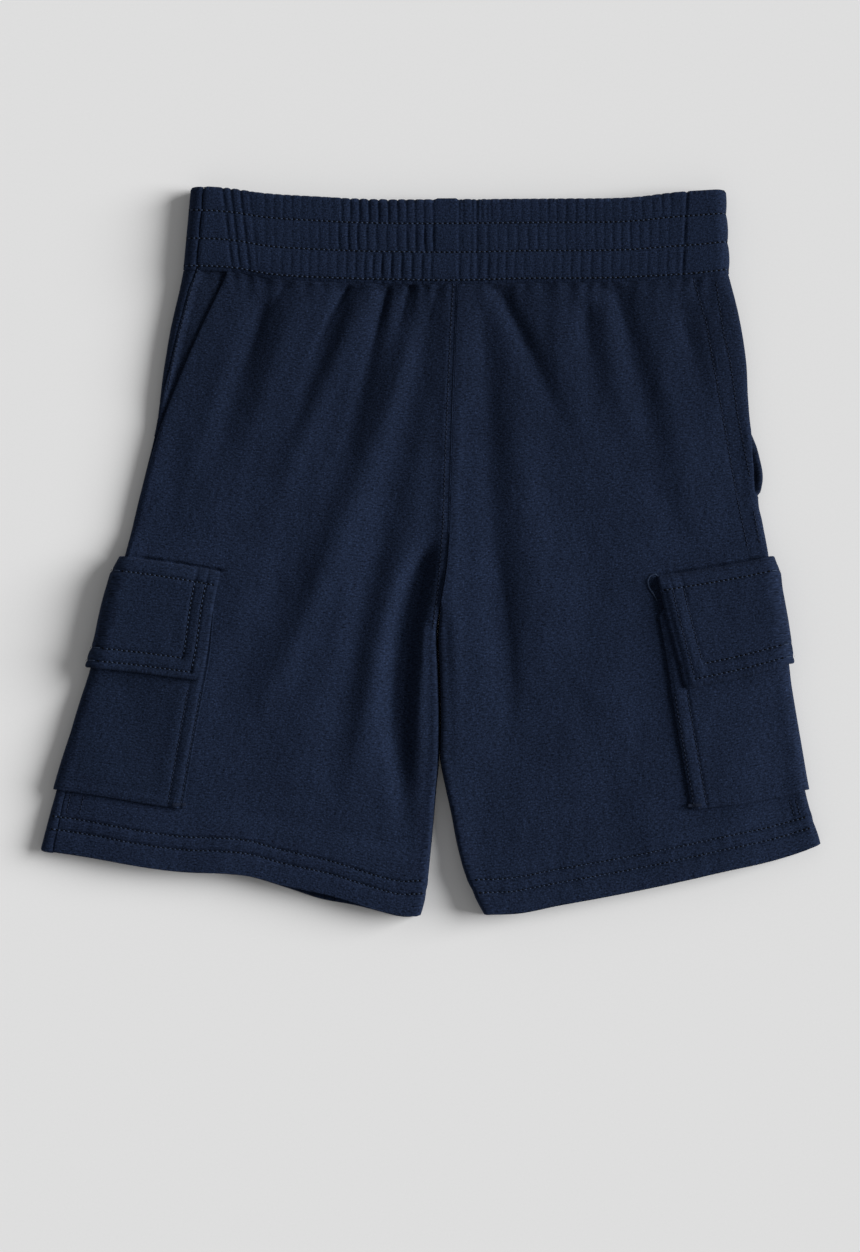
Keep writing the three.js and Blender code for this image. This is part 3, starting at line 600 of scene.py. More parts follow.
def make_object(
    name: str,
    points: np.ndarray,
    quads: np.ndarray,
    uv: np.ndarray | None,
    material: bpy.types.Material,
) -> bpy.types.Object:
    """Mesh object from points in plan millimetres.

    Args:
        name: Name of the object.
        points: Vertices, in millimetres.
        quads: Faces with four corners each.
        uv: Position on the cloth of each vertex, in metres.
        material: Its finish.

    Returns:
        The new object, smooth shaded and facing outwards.
    """
    flat = (points + SHIFT) * METRE
    a, b, c, d = (flat[quads[:, k]] for k in range(4))
    volume = (np.cross(b, c) * a).sum() + (np.cross(c, d) * a).sum()
    if volume < 0:
        quads = quads[:, ::-1]
    mesh = bpy.data.meshes.new(name)
    mesh.vertices.add(len(flat))
    mesh.vertices.foreach_set("co", flat.astype(np.float32).ravel())
    mesh.loops.add(quads.size)
    mesh.loops.foreach_set("vertex_index", quads.astype(np.int32).ravel())
    mesh.polygons.add(len(quads))
    mesh.polygons.foreach_set("loop_start", np.arange(0, quads.size, 4, dtype=np.int32))
    mesh.polygons.foreach_set("loop_total", np.full(len(quads), 4, dtype=np.int32))
    mesh.update(calc_edges=True)
    if uv is not None:
        layer = mesh.uv_layers.new(name="cloth")
        layer.data.foreach_set("uv", uv[quads.ravel()].astype(np.float32).ravel())
    mesh.shade_smooth()
    mesh.materials.append(material)
    obj = bpy.data.objects.new(name, mesh)
    bpy.context.scene.collection.objects.link(obj)
    return obj


def cloth_object(
    name: str,
    outer: np.ndarray,
    inner: np.ndarray,
    uv: np.ndarray,
    bulge: tuple[float, float, float, float],
    material: bpy.types.Material,
) -> bpy.types.Object:
    """Closed cloth piece from its two grids; the rim takes the uv of its border."""
    points, quads = closed_shell(outer, inner, bulge)
    columns, rows = outer.shape[:2]
    number = np.arange(columns * rows).reshape(columns, rows)
    loop = border(number)
    flat = uv.reshape(-1, 2)
    whole = np.concatenate([flat, flat, *[flat[loop]] * RIM_RINGS])
    return make_object(name + "_cloth", points, quads, whole * METRE, material)


def stand_for(obj: bpy.types.Object, node: str) -> None:
    """Put a piece on the one body, in the place of a node, and hide that node's part."""
    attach(obj, "root")
    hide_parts(node)


def spaced(total: float, step: float, ends: tuple[float, float], fine: float) -> np.ndarray:
    """Distances from 0 to total: fine steps over the two end lengths, wider ones between."""
    a = np.arange(0, ends[0], fine)
    b = np.arange(0, ends[1], fine)
    between = max(int((total - ends[0] - ends[1]) / step), 2)
    inside = np.linspace(ends[0], total - ends[1], between + 1)
    return np.concatenate([a, inside, (total - b)[::-1]])


def speckled(
    name: str, dark: list[float], light: list[float], scale: float, roughness: float
) -> bpy.types.Material:
    """Matt material whose colour wanders between two tones.

    Args:
        name: Name of the material.
        dark: Colour at the low end of the noise.
        light: Colour at its high end.
        scale: How fine the noise on Object coordinates is.
        roughness: Roughness all over.

    Returns:
        The material.
    """
    mat = bpy.data.materials.new(name)
    mat.use_nodes = True
    nodes, links = mat.node_tree.nodes, mat.node_tree.links
    bsdf = nodes["Principled BSDF"]
    bsdf.inputs["Roughness"].default_value = roughness
    bsdf.inputs["Specular IOR Level"].default_value = 0.1
    place = nodes.new("ShaderNodeTexCoord")
    noise = nodes.new("ShaderNodeTexNoise")
    noise.inputs["Scale"].default_value = scale
    blend = nodes.new("ShaderNodeMix")
    blend.data_type = "RGBA"
    blend.inputs["A"].default_value = (*dark, 1)
    blend.inputs["B"].default_value = (*light, 1)
    links.new(place.outputs["Object"], noise.inputs["Vector"])
    links.new(noise.outputs["Fac"], blend.inputs["Factor"])
    links.new(blend.outputs["Result"], bsdf.inputs["Base Color"])
    return mat


@dataclass(frozen=True)
class Finish:
    """Fleece knit finish."""

    name: str
    colour: tuple[float, float, float]
    sheen: float = 0.05
    streak: float = 1.0
    # Share of painted shade that darkens the cloth towards the waist
    upper_shade: float = 0.0

    def material(self, group: bpy.types.NodeTree) -> bpy.types.Material:
        """Material with the knit group feeding colour, roughness and bump."""
        mat = bpy.data.materials.new(self.name)
        mat.use_nodes = True
        nodes, links = mat.node_tree.nodes, mat.node_tree.links
        bsdf = nodes["Principled BSDF"]
        knit = nodes.new("ShaderNodeGroup")
        knit.node_tree = group
        knit.inputs["Colour"].default_value = (*self.colour, 1)
        knit.inputs["Streak"].default_value = self.streak
        knit.inputs["Painted upper shade"].default_value = self.upper_shade
        place = nodes.new("ShaderNodeUVMap")
        place.uv_map = "cloth"
        links.new(place.outputs["UV"], knit.inputs["Place"])
        links.new(knit.outputs["Colour"], bsdf.inputs["Base Color"])
        links.new(knit.outputs["Roughness"], bsdf.inputs["Roughness"])
        bump = nodes.new("ShaderNodeBump")
        bump.inputs["Strength"].default_value = 0.55
        bump.inputs["Distance"].default_value = 0.00035
        links.new(knit.outputs["Height"], bump.inputs["Height"])
        links.new(bump.outputs["Normal"], bsdf.inputs["Normal"])
        bsdf.inputs["Sheen Weight"].default_value = self.sheen
        bsdf.inputs["Sheen Roughness"].default_value = 0.5
        bsdf.inputs["Sheen Tint"].default_value = (0.40, 0.55, 1.0, 1)
        bsdf.inputs["Specular IOR Level"].default_value = 0.04
        return mat


class KnitGroup:
    """Shader group of a brushed knit: fine streaks across, pale specks of nap, slow mottling, and a painted
    shade that darkens the cloth towards the waist.
    """

    def __init__(self) -> None:
        """Build the group once."""
        tree = bpy.data.node_groups.new("fleece_knit", "ShaderNodeTree")
        self.tree = tree
        for socket, way, kind in (
            ("Place", "INPUT", "Vector"), ("Colour", "INPUT", "Color"), ("Streak", "INPUT", "Float"),
            ("Painted upper shade", "INPUT", "Float"), ("Colour", "OUTPUT", "Color"),
            ("Roughness", "OUTPUT", "Float"), ("Height", "OUTPUT", "Float"),
        ):
            tree.interface.new_socket(socket, in_out=way, socket_type="NodeSocket" + kind)
        self.start = tree.nodes.new("NodeGroupInput")
        self.finish = tree.nodes.new("NodeGroupOutput")
        streaks = self.noise((480.0, 1250.0, 1.0), 2.0)
        specks = self.noise((1150.0, 1400.0, 1.0), 1.0)
        mottle = self.noise((55.0, 80.0, 1.0), 3.0)
        fibre = self.noise((900.0, 1100.0, 1.0), 4.0)
        grain = self.math("MULTIPLY_ADD", streaks, 1.7, -0.85)
        grain = self.math("MULTIPLY_ADD", specks, 1.3, grain)
        grain = self.math("SUBTRACT", grain, 0.65)
        grain = self.math("MULTIPLY", grain, self.start.outputs["Streak"])
        split = tree.nodes.new("ShaderNodeSeparateXYZ")
        tree.links.new(self.start.outputs["Place"], split.inputs[0])
        # Painted shade: the colour darkens smoothly from 0.17 to 0.26 m up the cloth, towards the waist, by
        # the upper shade input
        rise = tree.nodes.new("ShaderNodeMapRange")
        rise.interpolation_type = "SMOOTHSTEP"
        rise.inputs["From Min"].default_value = 0.17
        rise.inputs["From Max"].default_value = 0.26
        tree.links.new(split.outputs["Y"], rise.inputs["Value"])
        shade = self.math("MULTIPLY", rise.outputs["Result"], self.start.outputs["Painted upper shade"])
        soft = self.math("MULTIPLY_ADD", mottle, 0.30, 0.85)
        soft = self.math("MULTIPLY", soft, self.math("SUBTRACT", 1.0, shade))
        lit = self.math("MULTIPLY", self.math("MAXIMUM", self.math("ADD", grain, 1.0), 0.25), soft)
        dots = self.math("MULTIPLY", self.math("MAXIMUM", self.math("SUBTRACT", specks, 0.68), 0.0), 6.0)
        whole = self.math("ADD", lit, dots)
        scale = tree.nodes.new("ShaderNodeVectorMath")
        scale.operation = "SCALE"
        tree.links.new(self.start.outputs["Colour"], scale.inputs[0])
        tree.links.new(whole, scale.inputs["Scale"])
        tree.links.new(scale.outputs["Vector"], self.finish.inputs["Colour"])
        rough = self.math("MULTIPLY_ADD", fibre, 0.12, 0.84)
        tree.links.new(rough, self.finish.inputs["Roughness"])
        height = self.math("ADD", self.math("MULTIPLY", streaks, 0.8), fibre)
        height = self.math("ADD", height, self.math("MULTIPLY", specks, 0.5))
        tree.links.new(height, self.finish.inputs["Height"])

    def noise(self, scale: tuple[float, float, float], detail: float) -> bpy.types.NodeSocket:
        """Noise over the cloth's own coordinates, stretched by scale; returns its value socket."""
        nodes, links = self.tree.nodes, self.tree.links
        stretch = nodes.new("ShaderNodeVectorMath")
        stretch.operation = "MULTIPLY"
        stretch.inputs[1].default_value = scale
        links.new(self.start.outputs["Place"], stretch.inputs[0])
        noise = nodes.new("ShaderNodeTexNoise")
        noise.noise_dimensions = "2D"
        noise.inputs["Scale"].default_value = 1.0
        noise.inputs["Detail"].default_value = detail
        links.new(stretch.outputs["Vector"], noise.inputs["Vector"])
        return noise.outputs["Fac"]

    def math(self, operation: str, *values: bpy.types.NodeSocket | float) -> bpy.types.NodeSocket:
        """Math node with sockets or numbers as inputs; returns its output socket."""
        node = self.tree.nodes.new("ShaderNodeMath")
        node.operation = operation
        for k, value in enumerate(values):
            if isinstance(value, bpy.types.NodeSocket):
                self.tree.links.new(value, node.inputs[k])
            else:
                node.inputs[k].default_value = value
        return node.outputs[0]


@dataclass(frozen=True)
class ThreadFinish:
    """Matt thread, or the near-black painted shade of a needle hole."""

    name: str
    colour: tuple[float, float, float]
    roughness: float = 0.7

    def material(self) -> bpy.types.Material:
        """Material with a fine twist of light and dark along each stitch."""
        dark, light = ([c * tone for c in self.colour] for tone in (0.6, 1.4))
        return speckled(self.name, dark, light, 2200, self.roughness)


@dataclass
class Looks:
    """Every finish of the garment."""

    body: bpy.types.Material = field(init=False)
    band: bpy.types.Material = field(init=False)
    # pocket is a lighter copy of the fleece (painted light), pocket_left a darker copy (painted shade)
    pocket: bpy.types.Material = field(init=False)
    pocket_left: bpy.types.Material = field(init=False)
    facing: bpy.types.Material = field(init=False)
    thread: bpy.types.Material = field(init=False)
    quiet: bpy.types.Material = field(init=False)
    hole: bpy.types.Material = field(init=False)

    def __post_init__(self) -> None:
        """Make the group and the materials."""
        knit = KnitGroup().tree
        # The body fleece carries a painted shade towards the waist
        self.body = Finish("body_fleece", (0.0096, 0.0157, 0.0348), upper_shade=0.17).material(knit)
        self.band = Finish("band_fleece", (0.0083, 0.0140, 0.0318)).material(knit)
        # Pocket and flap fleece: the right pieces get a lighter copy of the body fleece as painted light,
        # the left pieces a darker copy as painted shade, for the light falling from the right
        self.pocket = Finish("pocket_fleece", (0.0101, 0.0164, 0.0362)).material(knit)
        self.pocket_left = Finish("pocket_fleece_painted_shade", (0.0086, 0.0142, 0.0312)).material(knit)
        # The facing is a darker copy of the fleece: painted shade for the recess of the pocket mouth
        self.facing = Finish("facing_fleece", (0.0085, 0.0136, 0.0295)).material(knit)
        # Both threads are lighter than the cloth: the thread's own tone plus a painted highlight of its
        # glints; the quiet rows get a dimmer copy with less of that painted highlight
        self.thread = ThreadFinish("navy_thread_and_painted_highlight", (0.030, 0.046, 0.086)).material()
        self.quiet = ThreadFinish("quiet_thread_and_painted_highlight", (0.014, 0.021, 0.042)).material()
        # Near-black needle holes: painted shade in the holes
        self.hole = ThreadFinish("needle_hole", (0.0008, 0.0012, 0.0024)).material()


@dataclass(frozen=True)
class StitchSize:
    """Size of one visible stitch."""

    pitch: float = 2.35
    length: float = 1.15
    width: float = 0.56
    hole: float = 0.6


class Sewing:
    """Collects stitches and needle holes and makes one object of each group."""

    SIZE = StitchSize()
    QUIET = ("rise", "mouths", "sides", "seams", "pocket_left", "pocket_right", "flap_front")
    # Share along a stitch, fatness and rise of each ring of its body
    STATIONS = ((0, 0.45, -0.05), (0.18, 1, 0.1), (0.5, 1.1, 0.2), (0.82, 1, 0.1), (1, 0.45, -0.05))

    def __init__(self) -> None:
        """Start with nothing sewn."""
        self.parts: dict[str, list[tuple[np.ndarray, np.ndarray]]] = {}

    def add(self, group: str, part: tuple[np.ndarray, np.ndarray]) -> None:
        """Keep the points and faces of some threads or holes with their group."""
        self.parts.setdefault(group, []).append(part)

    def sew(
        self, group: str, row: Row, surface: Callable, pitch: float | None = None, lift: float = 0.16
    ) -> None:
        """Stitches along a row of the plan.

        Args:
            group: Object the stitches go into.
            row: Line in the plan.
            surface: Gives points for plan x and y and a height above the cloth.
            pitch: Step from stitch to stitch.
            lift: Height of the thread above the bottom of its groove.
        """
        size = self.SIZE
        lift = 0.0 if group in self.QUIET else lift
        knots = row.resample(pitch or size.pitch)
        if len(knots) < 2:
            return
        a, b = knots[:-1], knots[1:]
        share = size.length / (pitch or size.pitch)
        start = mix(a, b, (1 - share) / 2)
        end = mix(a, b, (1 + share) / 2)
        self.add(group, self.capsules(surface, start, end, size.width, lift))
        hole = size.hole * (0.62 if group in self.QUIET else 1)
        self.add(group + "_holes", self.discs(surface, knots, hole, lift))

    def bar(self, group: str, start: tuple, end: tuple, width: float, surface: Callable) -> None:
        """Bar tack: close threads across a short line."""
        middle_line = Row(np.array([start, end], float)).resample(0.45)
        d = np.array(end, float) - np.array(start, float)
        side = np.array([-d[1], d[0]]) / np.linalg.norm(d) * width / 2
        a, b = middle_line - side, middle_line + side
        self.add(group, self.capsules(surface, a, b, 0.42))

    def strand(self, group: str, row: Row, surface: Callable) -> None:
        """Loose thread end lying on the cloth."""
        knots = row.resample(0.6)
        self.add(group, self.capsules(surface, knots[:-1], knots[1:], 0.6, 0.5))

    @staticmethod
    def frames(surface: Callable, p: np.ndarray, lift: float) -> tuple[np.ndarray, np.ndarray]:
        """Points on the surface and its upward unit normals at plan points p."""
        here = surface(p[:, 0], p[:, 1], lift)
        east = surface(p[:, 0] + 0.4, p[:, 1], lift) - here
        north = surface(p[:, 0], p[:, 1] + 0.4, lift) - here
        normal = np.cross(east, north)
        normal *= np.where(normal[:, 2:] < 0, -1, 1)
        return here, normal / (np.linalg.norm(normal, axis=1, keepdims=True) + 1e-12)

    @classmethod
    def capsules(
        cls, surface: Callable, a: np.ndarray, b: np.ndarray, width: float, lift: float = 0.0
    ) -> tuple[np.ndarray, np.ndarray]:
        """Low rounded threads from a to b, each a closed six-sided body that arches a little."""
        start, up = cls.frames(surface, a, 0.12 + lift)
        end, _ = cls.frames(surface, b, 0.12 + lift)
        along = (end - start) / (np.linalg.norm(end - start, axis=1, keepdims=True) + 1e-12)
        side = np.cross(up, along)
        turns = np.arange(6) * math.pi / 3
        rings = []
        for t, fat, rise in cls.STATIONS:
            centre = mix(start, end, t) + up * rise * width * 1.2
            for w in turns:
                offset = side * math.cos(w) + up * math.sin(w) * 0.75
                rings.append(centre + offset * width / 2 * fat)
        points = np.stack(rings, axis=1)
        number = np.arange(30).reshape(5, 6)
        ring = np.concatenate([number, number[:, :1]], axis=1)
        quads = [grid_quads(ring)]
        quads.append(np.array([[0, 1, 2, 3], [3, 4, 5, 0], [27, 26, 25, 24], [24, 29, 28, 27]]))
        quads = np.concatenate(quads)
        count = len(points)
        faces = (quads[None] + 30 * np.arange(count)[:, None, None]).reshape(-1, 4)
        return points.reshape(-1, 3), faces

    @classmethod
    def discs(
        cls, surface: Callable, p: np.ndarray, radius: float, lift: float = 0.0
    ) -> tuple[np.ndarray, np.ndarray]:
        """Small sunk discs where the needle went in, closed to thin double cones, coloured near black as
        painted shade of the hole.
        """
        centre, up = cls.frames(surface, p, 0.14 + lift)
        side = np.cross(up, np.array([0.3, 0.9, 0.1]))
        side /= np.linalg.norm(side, axis=1, keepdims=True)
        across = np.cross(up, side)
        ring = [
            centre + (side * math.cos(w) + across * math.sin(w)) * radius
            for w in np.arange(6) * math.pi / 3
        ]
        points = np.stack([*ring, centre + up * 0.05, centre - up * 0.12], axis=1)
        quads = []
        for k in (0, 2, 4):
            quads.append([k, (k + 1) % 6, (k + 2) % 6, 6])
            quads.append([(k + 2) % 6, (k + 1) % 6, k, 7])
        quads = np.array(quads)
        faces = (quads[None] + 8 * np.arange(len(points))[:, None, None]).reshape(-1, 4)
        return points.reshape(-1, 3), faces

    def build(self, looks: Looks) -> None:
        """One object for each group of threads and each group of holes."""
        for group, parts in self.parts.items():
            points = np.concatenate([p for p, _ in parts])
            starts = np.cumsum([0] + [len(p) for p, _ in parts])
            faces = np.concatenate([f + start for (_, f), start in zip(parts, starts)])
            thread = looks.quiet if group in self.QUIET else looks.thread
            # Hole groups take the near-black painted shade
            material = looks.hole if group.endswith("_holes") else thread
            obj = make_object("sewing_" + group, points, faces, None, material)
            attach(obj, "root")
            LOG.info("%s: %d faces", obj.name, len(faces))


class Panel:
    """Leg panel: its grid in the half's own rows and reaches."""

    def __init__(self, half: Half, name: str, face: int) -> None:
        """Keep which half and face this panel covers."""
        self.half, self.name, self.face = half, name, face

    def start(self, v: np.ndarray) -> np.ndarray:
        """Reach of the side edge of the panel."""
        y = self.half.side_y(v)
        if self.face > 0:
            return self.half.mouth(y) + HALF_GAP
        return self.half.seam(y) - HALF_GAP

    def build(self, looks: Looks) -> bpy.types.Object:
        """The panel with its turned-up hem, as one closed cloth."""
        half, face = self.half, self.face
        height = half.high_side[0] - half.low_side[0]
        if face > 0:
            v = spaced(height, 1.7, (24, 8), 0.62) / height
            level = half.row_at(np.arange(-5.0, 2.5, 0.5))
            v = np.sort(np.concatenate([v[(v < level[0] - 0.002) | (v > level[-1] + 0.002)], level]))
            ends, fine, step = (19 if half is RIGHT else 9, 9), 0.6, 1.7
        else:
            v = spaced(height, 3.2, (24, 4), 1.6) / height
            ends, fine, step = (14, 8), 1.2, 3.4
        v[0], v[-1] = 0.0035, 1.0
        start, end = self.start(v), half.flat_end(v) + QUARTER * inseam(half.side_y(v))
        span = end - face * start
        base = spaced(NOMINAL, step, ends, fine)[:, None]
        lead = np.minimum(base, ends[0])
        trail = np.maximum(base - (NOMINAL - ends[1]), 0)
        mid = np.clip((base - ends[0]) / (NOMINAL - ends[0] - ends[1]), 0, 1)
        reach = face * (face * start[None] + lead + mid * (span[None] - ends[0] - ends[1]) + trail)
        vv = np.broadcast_to(v[None], reach.shape)
        wall = np.where(vv * height < HEM_DEPTH, HEM_WALL, WALL)
        parting = half.parting(vv)
        out = self.out(vv, reach)
        outer = half.at(vv, reach, out if face > 0 else np.minimum(out, INSEAM_LIFT * parting))
        inner = half.at(vv, reach, -wall)
        close = 0.17 * half.sign * (1 - parting) * (1 - smooth(NOMINAL - base, 0, 2))
        for grid in (outer, inner):
            grid[..., 0] += close
        if face < 0 and half is LEFT:
            for grid in (outer, inner):
                peek = 2.6 * bell(grid[..., 0], PEEK_X, 15)
                grid[..., 1] -= peek * np.clip(1 - vv * 8, 0, 1)
        uv = np.stack([np.abs(reach), vv * height], axis=-1)
        free = 0.8 if half is RIGHT and face > 0 else 0.2
        obj = cloth_object(self.name, outer, inner, uv, (free, 0.1, 0.75, 0.1), looks.body)
        stand_for(obj, self.name)
        return obj

    def out(self, v: np.ndarray, reach: np.ndarray) -> np.ndarray:
        """Height beyond the plain outer face: sunk seams, a raised rise seam and the hem's puff."""
        half, face = self.half, self.face
        height = half.high_side[0] - half.low_side[0]
        outside = face * (reach - self.start(v))
        inside = half.flat_end(v) + QUARTER * inseam(half.side_y(v)) - face * reach
        parting = half.parting(v)
        deep = mix(0.08 if half is RIGHT else 0.25, 0.25, parting)
        dip = -deep * bell(np.minimum(outside, inside), 0, GROOVE)
        if face > 0 and half is RIGHT:
            lip = 0.35 * bell(outside, 2.2, 2.0)
            corner = 0.6 * bell(inside, 6.5, 5.0) * smooth(inside, 0.5, 4.5)
            dip = dip * (outside > 20) + lip + corner * parting
        dip = dip + INSEAM_LIFT * (1 - smooth(inside, 3.5, 8)) * parting
        if face > 0 and half is LEFT:
            dip = dip + 0.4 * bell(inside, 1.4, 0.8) * (1 - parting)
        dip = dip + self.hem_puff(v * height)
        return dip * smooth(reach, -3, 1) if face > 0 else dip

    def surface(self, x: np.ndarray, y: np.ndarray, lift: float) -> np.ndarray:
        """Points on the panel above plan points."""
        v, reach = self.half.locate(x, y)
        return self.half.at(v, reach, self.out(v, reach) + lift)

    def hem_puff(self, up: np.ndarray) -> np.ndarray:
        """Soft puff of the doubled hem below, between and above its two rows of stitches."""
        if self.face < 0:
            return np.zeros_like(up)
        below = 0.45 * np.sin(np.clip(up / HEM_ROWS[0], 0, 1) * math.pi) ** 0.8
        between = 0.25 * np.sin(np.clip((up - HEM_ROWS[0]) / 6.3, 0, 1) * math.pi)
        return below + between - 0.35 * smooth(up, 19, 34)


class Band:
    """Waistband: one elastic ring, its front and back halves built apart."""

    CREASES = (
        (-101.0, 0.8, 0.12), (-97.0, 0.9, 0.12), (-92.3, 0.8, 0.12), (-88.0, 0.4, 0.1),
        (14.4, 0.55, 0.0), (23.4, 0.8, 0.0), (28.4, 0.4, 0.0), (127.0, 0.9, -0.06),
    )

    def __init__(self, face: int) -> None:
        """Keep the face and which reaches this half runs between."""
        self.face = face
        self.name = "waistband_front" if face > 0 else "waistband_back"
        self.first = BAND_GAP / 2 + face * BAND_SEAM_LEFT
        self.last = BAND_GAP / 2 + face * BAND_SEAM_RIGHT

    @staticmethod
    def left_x(w: np.ndarray) -> np.ndarray:
        """Left outline at share w of the band's height."""
        return mix(WAIST_SEAM[0, 0], WAIST_EDGE[0, 0], w)

    @staticmethod
    def right_x(w: np.ndarray) -> np.ndarray:
        """Right outline at share w of the band's height."""
        return mix(WAIST_SEAM[-1, 0], WAIST_EDGE[-1, 0], w)

    @classmethod
    def length(cls, w: np.ndarray) -> np.ndarray:
        """Length of one face round both side turns."""
        return cls.right_x(w) - cls.left_x(w) + 2 * (QUARTER - 1) * BAND_ROLL

    def at(self, w: np.ndarray, travel: np.ndarray, out: np.ndarray) -> np.ndarray:
        """Points of the band.

        Args:
            w: Share of the band's height, 0 at the seam.
            travel: Length from the left outline round this face.
            out: Distance beyond the outer face.

        Returns:
            Points: a quarter circle at each side and flat between.
        """
        total = self.length(w)
        left = travel < total / 2
        reach = np.where(left, travel, total - travel)
        angle = np.minimum(reach / BAND_ROLL, QUARTER)
        radius = BAND_ROLL + out
        distance = BAND_ROLL - radius * np.cos(angle) + np.maximum(0, reach - QUARTER * BAND_ROLL)
        x = np.where(left, self.left_x(w) + distance, self.right_x(w) - distance)
        y = mix(waist_seam(x), waist_edge(x), w)
        return np.stack([x, y, BAND_ROLL + self.face * radius * np.sin(angle)], axis=-1)

    def relief(self, up: np.ndarray, travel: np.ndarray) -> np.ndarray:
        """Channels that puff between the stitch rows, cut by narrow valleys between ribs.

        Args:
            up: Height on the band above the seam.
            travel: Length round this face.

        Returns:
            Height beyond the plain outer face.
        """
        edges = np.array([*BAND_ROWS, BAND_HEIGHT + 3.0])
        channel = np.clip(np.searchsorted(edges, up, side="right") - 1, 0, 2)
        low, high = edges[channel], edges[channel + 1]
        t = np.clip((up - low) / (high - low), 0, 1)
        puff = np.where(up < edges[0], 0.0, np.sin(math.pi * t) ** 0.55)
        total = self.length(up / BAND_HEIGHT)
        reach = np.minimum(travel, total - travel)
        x = travel - (QUARTER - 1) * BAND_ROLL + self.left_x(up / BAND_HEIGHT)
        first = np.array([-41.9, -45.3, -44.8])[channel]
        wander = 0.5 * np.sin(travel / 13 + channel * 2.1) + 0.35 * np.sin(travel / 5.1 + channel * 1.3)
        wave = np.abs(np.sin((x - first + wander) * math.pi / 4.7 + 0.1 * np.sin(up / 3)))
        valley = 0.55 * bell(wave, 0, 0.32) + 0.45 * (1 - wave**0.8)
        strength = self.rib_strength(x) * (0.85 + 0.3 * np.sin(travel / 7.7 + channel * 4))
        rib = -1.05 * valley * strength * (0.45 + 0.55 * puff)
        ripple = 0.08 * np.sin(travel / 1.7 + channel * 3 + up / 3) * strength
        if self.face < 0:
            return 0.4 * rib - 0.1
        crease = sum(self.crease(x + (up - 20) * lean, at, deep) for at, deep, lean in self.CREASES)
        hem = -1.0 * (1 - smooth(up, 0.2, 1.5))
        return 0.85 * puff - 0.25 + rib + ripple * puff + crease * (0.4 + 0.6 * puff) + hem

    @staticmethod
    def crease(x: np.ndarray, at: float, deep: float) -> np.ndarray:
        """Narrow upright crease at one place."""
        return -deep * bell(x, at, 0.75)

    @staticmethod
    def rib_strength(x: np.ndarray) -> np.ndarray:
        """How strongly the band is ribbed: full left of the centre seam, faint to its right."""
        left = 0.35 * smooth(x, -92, -84) + 0.65 * smooth(x, -50, -42)
        right = 0.42 * smooth(x, 14, 16) * (1 - smooth(x, 121, 126))
        return left * (1 - smooth(x, 2.2, 4.2)) + right

    def locate(self, x: np.ndarray, y: np.ndarray) -> tuple[np.ndarray, np.ndarray]:
        """Share of height and travel of plan points on this face."""
        w = (y - waist_seam(x)) / (waist_edge(x) - waist_seam(x))
        total = self.length(w)
        left, right = x - self.left_x(w), self.right_x(w) - x
        near = np.minimum(left, right)
        turned = BAND_ROLL * np.arccos(np.clip(1 - near / BAND_ROLL, -1, 1))
        reach = np.where(near < BAND_ROLL, turned, near + (QUARTER - 1) * BAND_ROLL)
        return w, np.where(left < right, reach, total - reach)

    def surface(self, x: np.ndarray, y: np.ndarray, lift: float) -> np.ndarray:
        """Points on the band above plan points."""
        w, travel = self.locate(x, y)
        return self.at(w, travel, self.relief(w * BAND_HEIGHT, travel) + lift)

    def build(self, looks: Looks) -> bpy.types.Object:
        """This half of the band as one closed cloth."""
        up = np.concatenate([
            np.linspace(0, 2.4, 4)[:-1], np.linspace(2.4, 14.2, 12)[:-1], np.linspace(14.2, 15.8, 5)[:-1],
            np.linspace(15.8, 28, 12)[:-1], np.linspace(28, 29.6, 5)[:-1], np.linspace(29.6, 38.9, 10),
        ])
        w = up / BAND_HEIGHT
        share = np.linspace(0, 1, 520 if self.face > 0 else 260)[:, None]
        ww = np.broadcast_to(w[None], (len(share), len(w)))
        travel = mix(self.first, self.length(ww) - self.last, share)
        out = self.relief(ww * BAND_HEIGHT, travel)
        reach = np.minimum(travel, self.length(ww) - travel)
        edge = np.minimum(travel - self.first, self.length(ww) - self.last - travel)
        out = np.where(reach < 0, 0, out) - 0.5 * bell(edge, 0, 0.9)
        outer = self.at(ww, travel, np.minimum(out, 0) if self.face < 0 else out)
        inner = self.at(ww, travel, np.full_like(out, -BAND_WALL))
        if self.face > 0:
            x = outer[..., 0]
            raised = 0.8 * smooth(x, 2.6, 3.8) * (1 - smooth(x, 12.8, 14.2))
            outer[..., 1] += (0.6 * np.clip(out - 0.3, -0.8, 0.4) + raised) * smooth(ww, 0.8, 1)
            for grid in (outer, inner):
                grid[..., 1] -= 0.35 * (1 - smooth(ww * BAND_HEIGHT, 0, 1.5))
        uv = np.stack([travel * 1.35, ww * BAND_HEIGHT + 400], axis=-1)
        obj = cloth_object(self.name, outer, inner, uv, (0.15, 0.15, 0.3, 0.8), looks.band)
        stand_for(obj, self.name)
        return obj


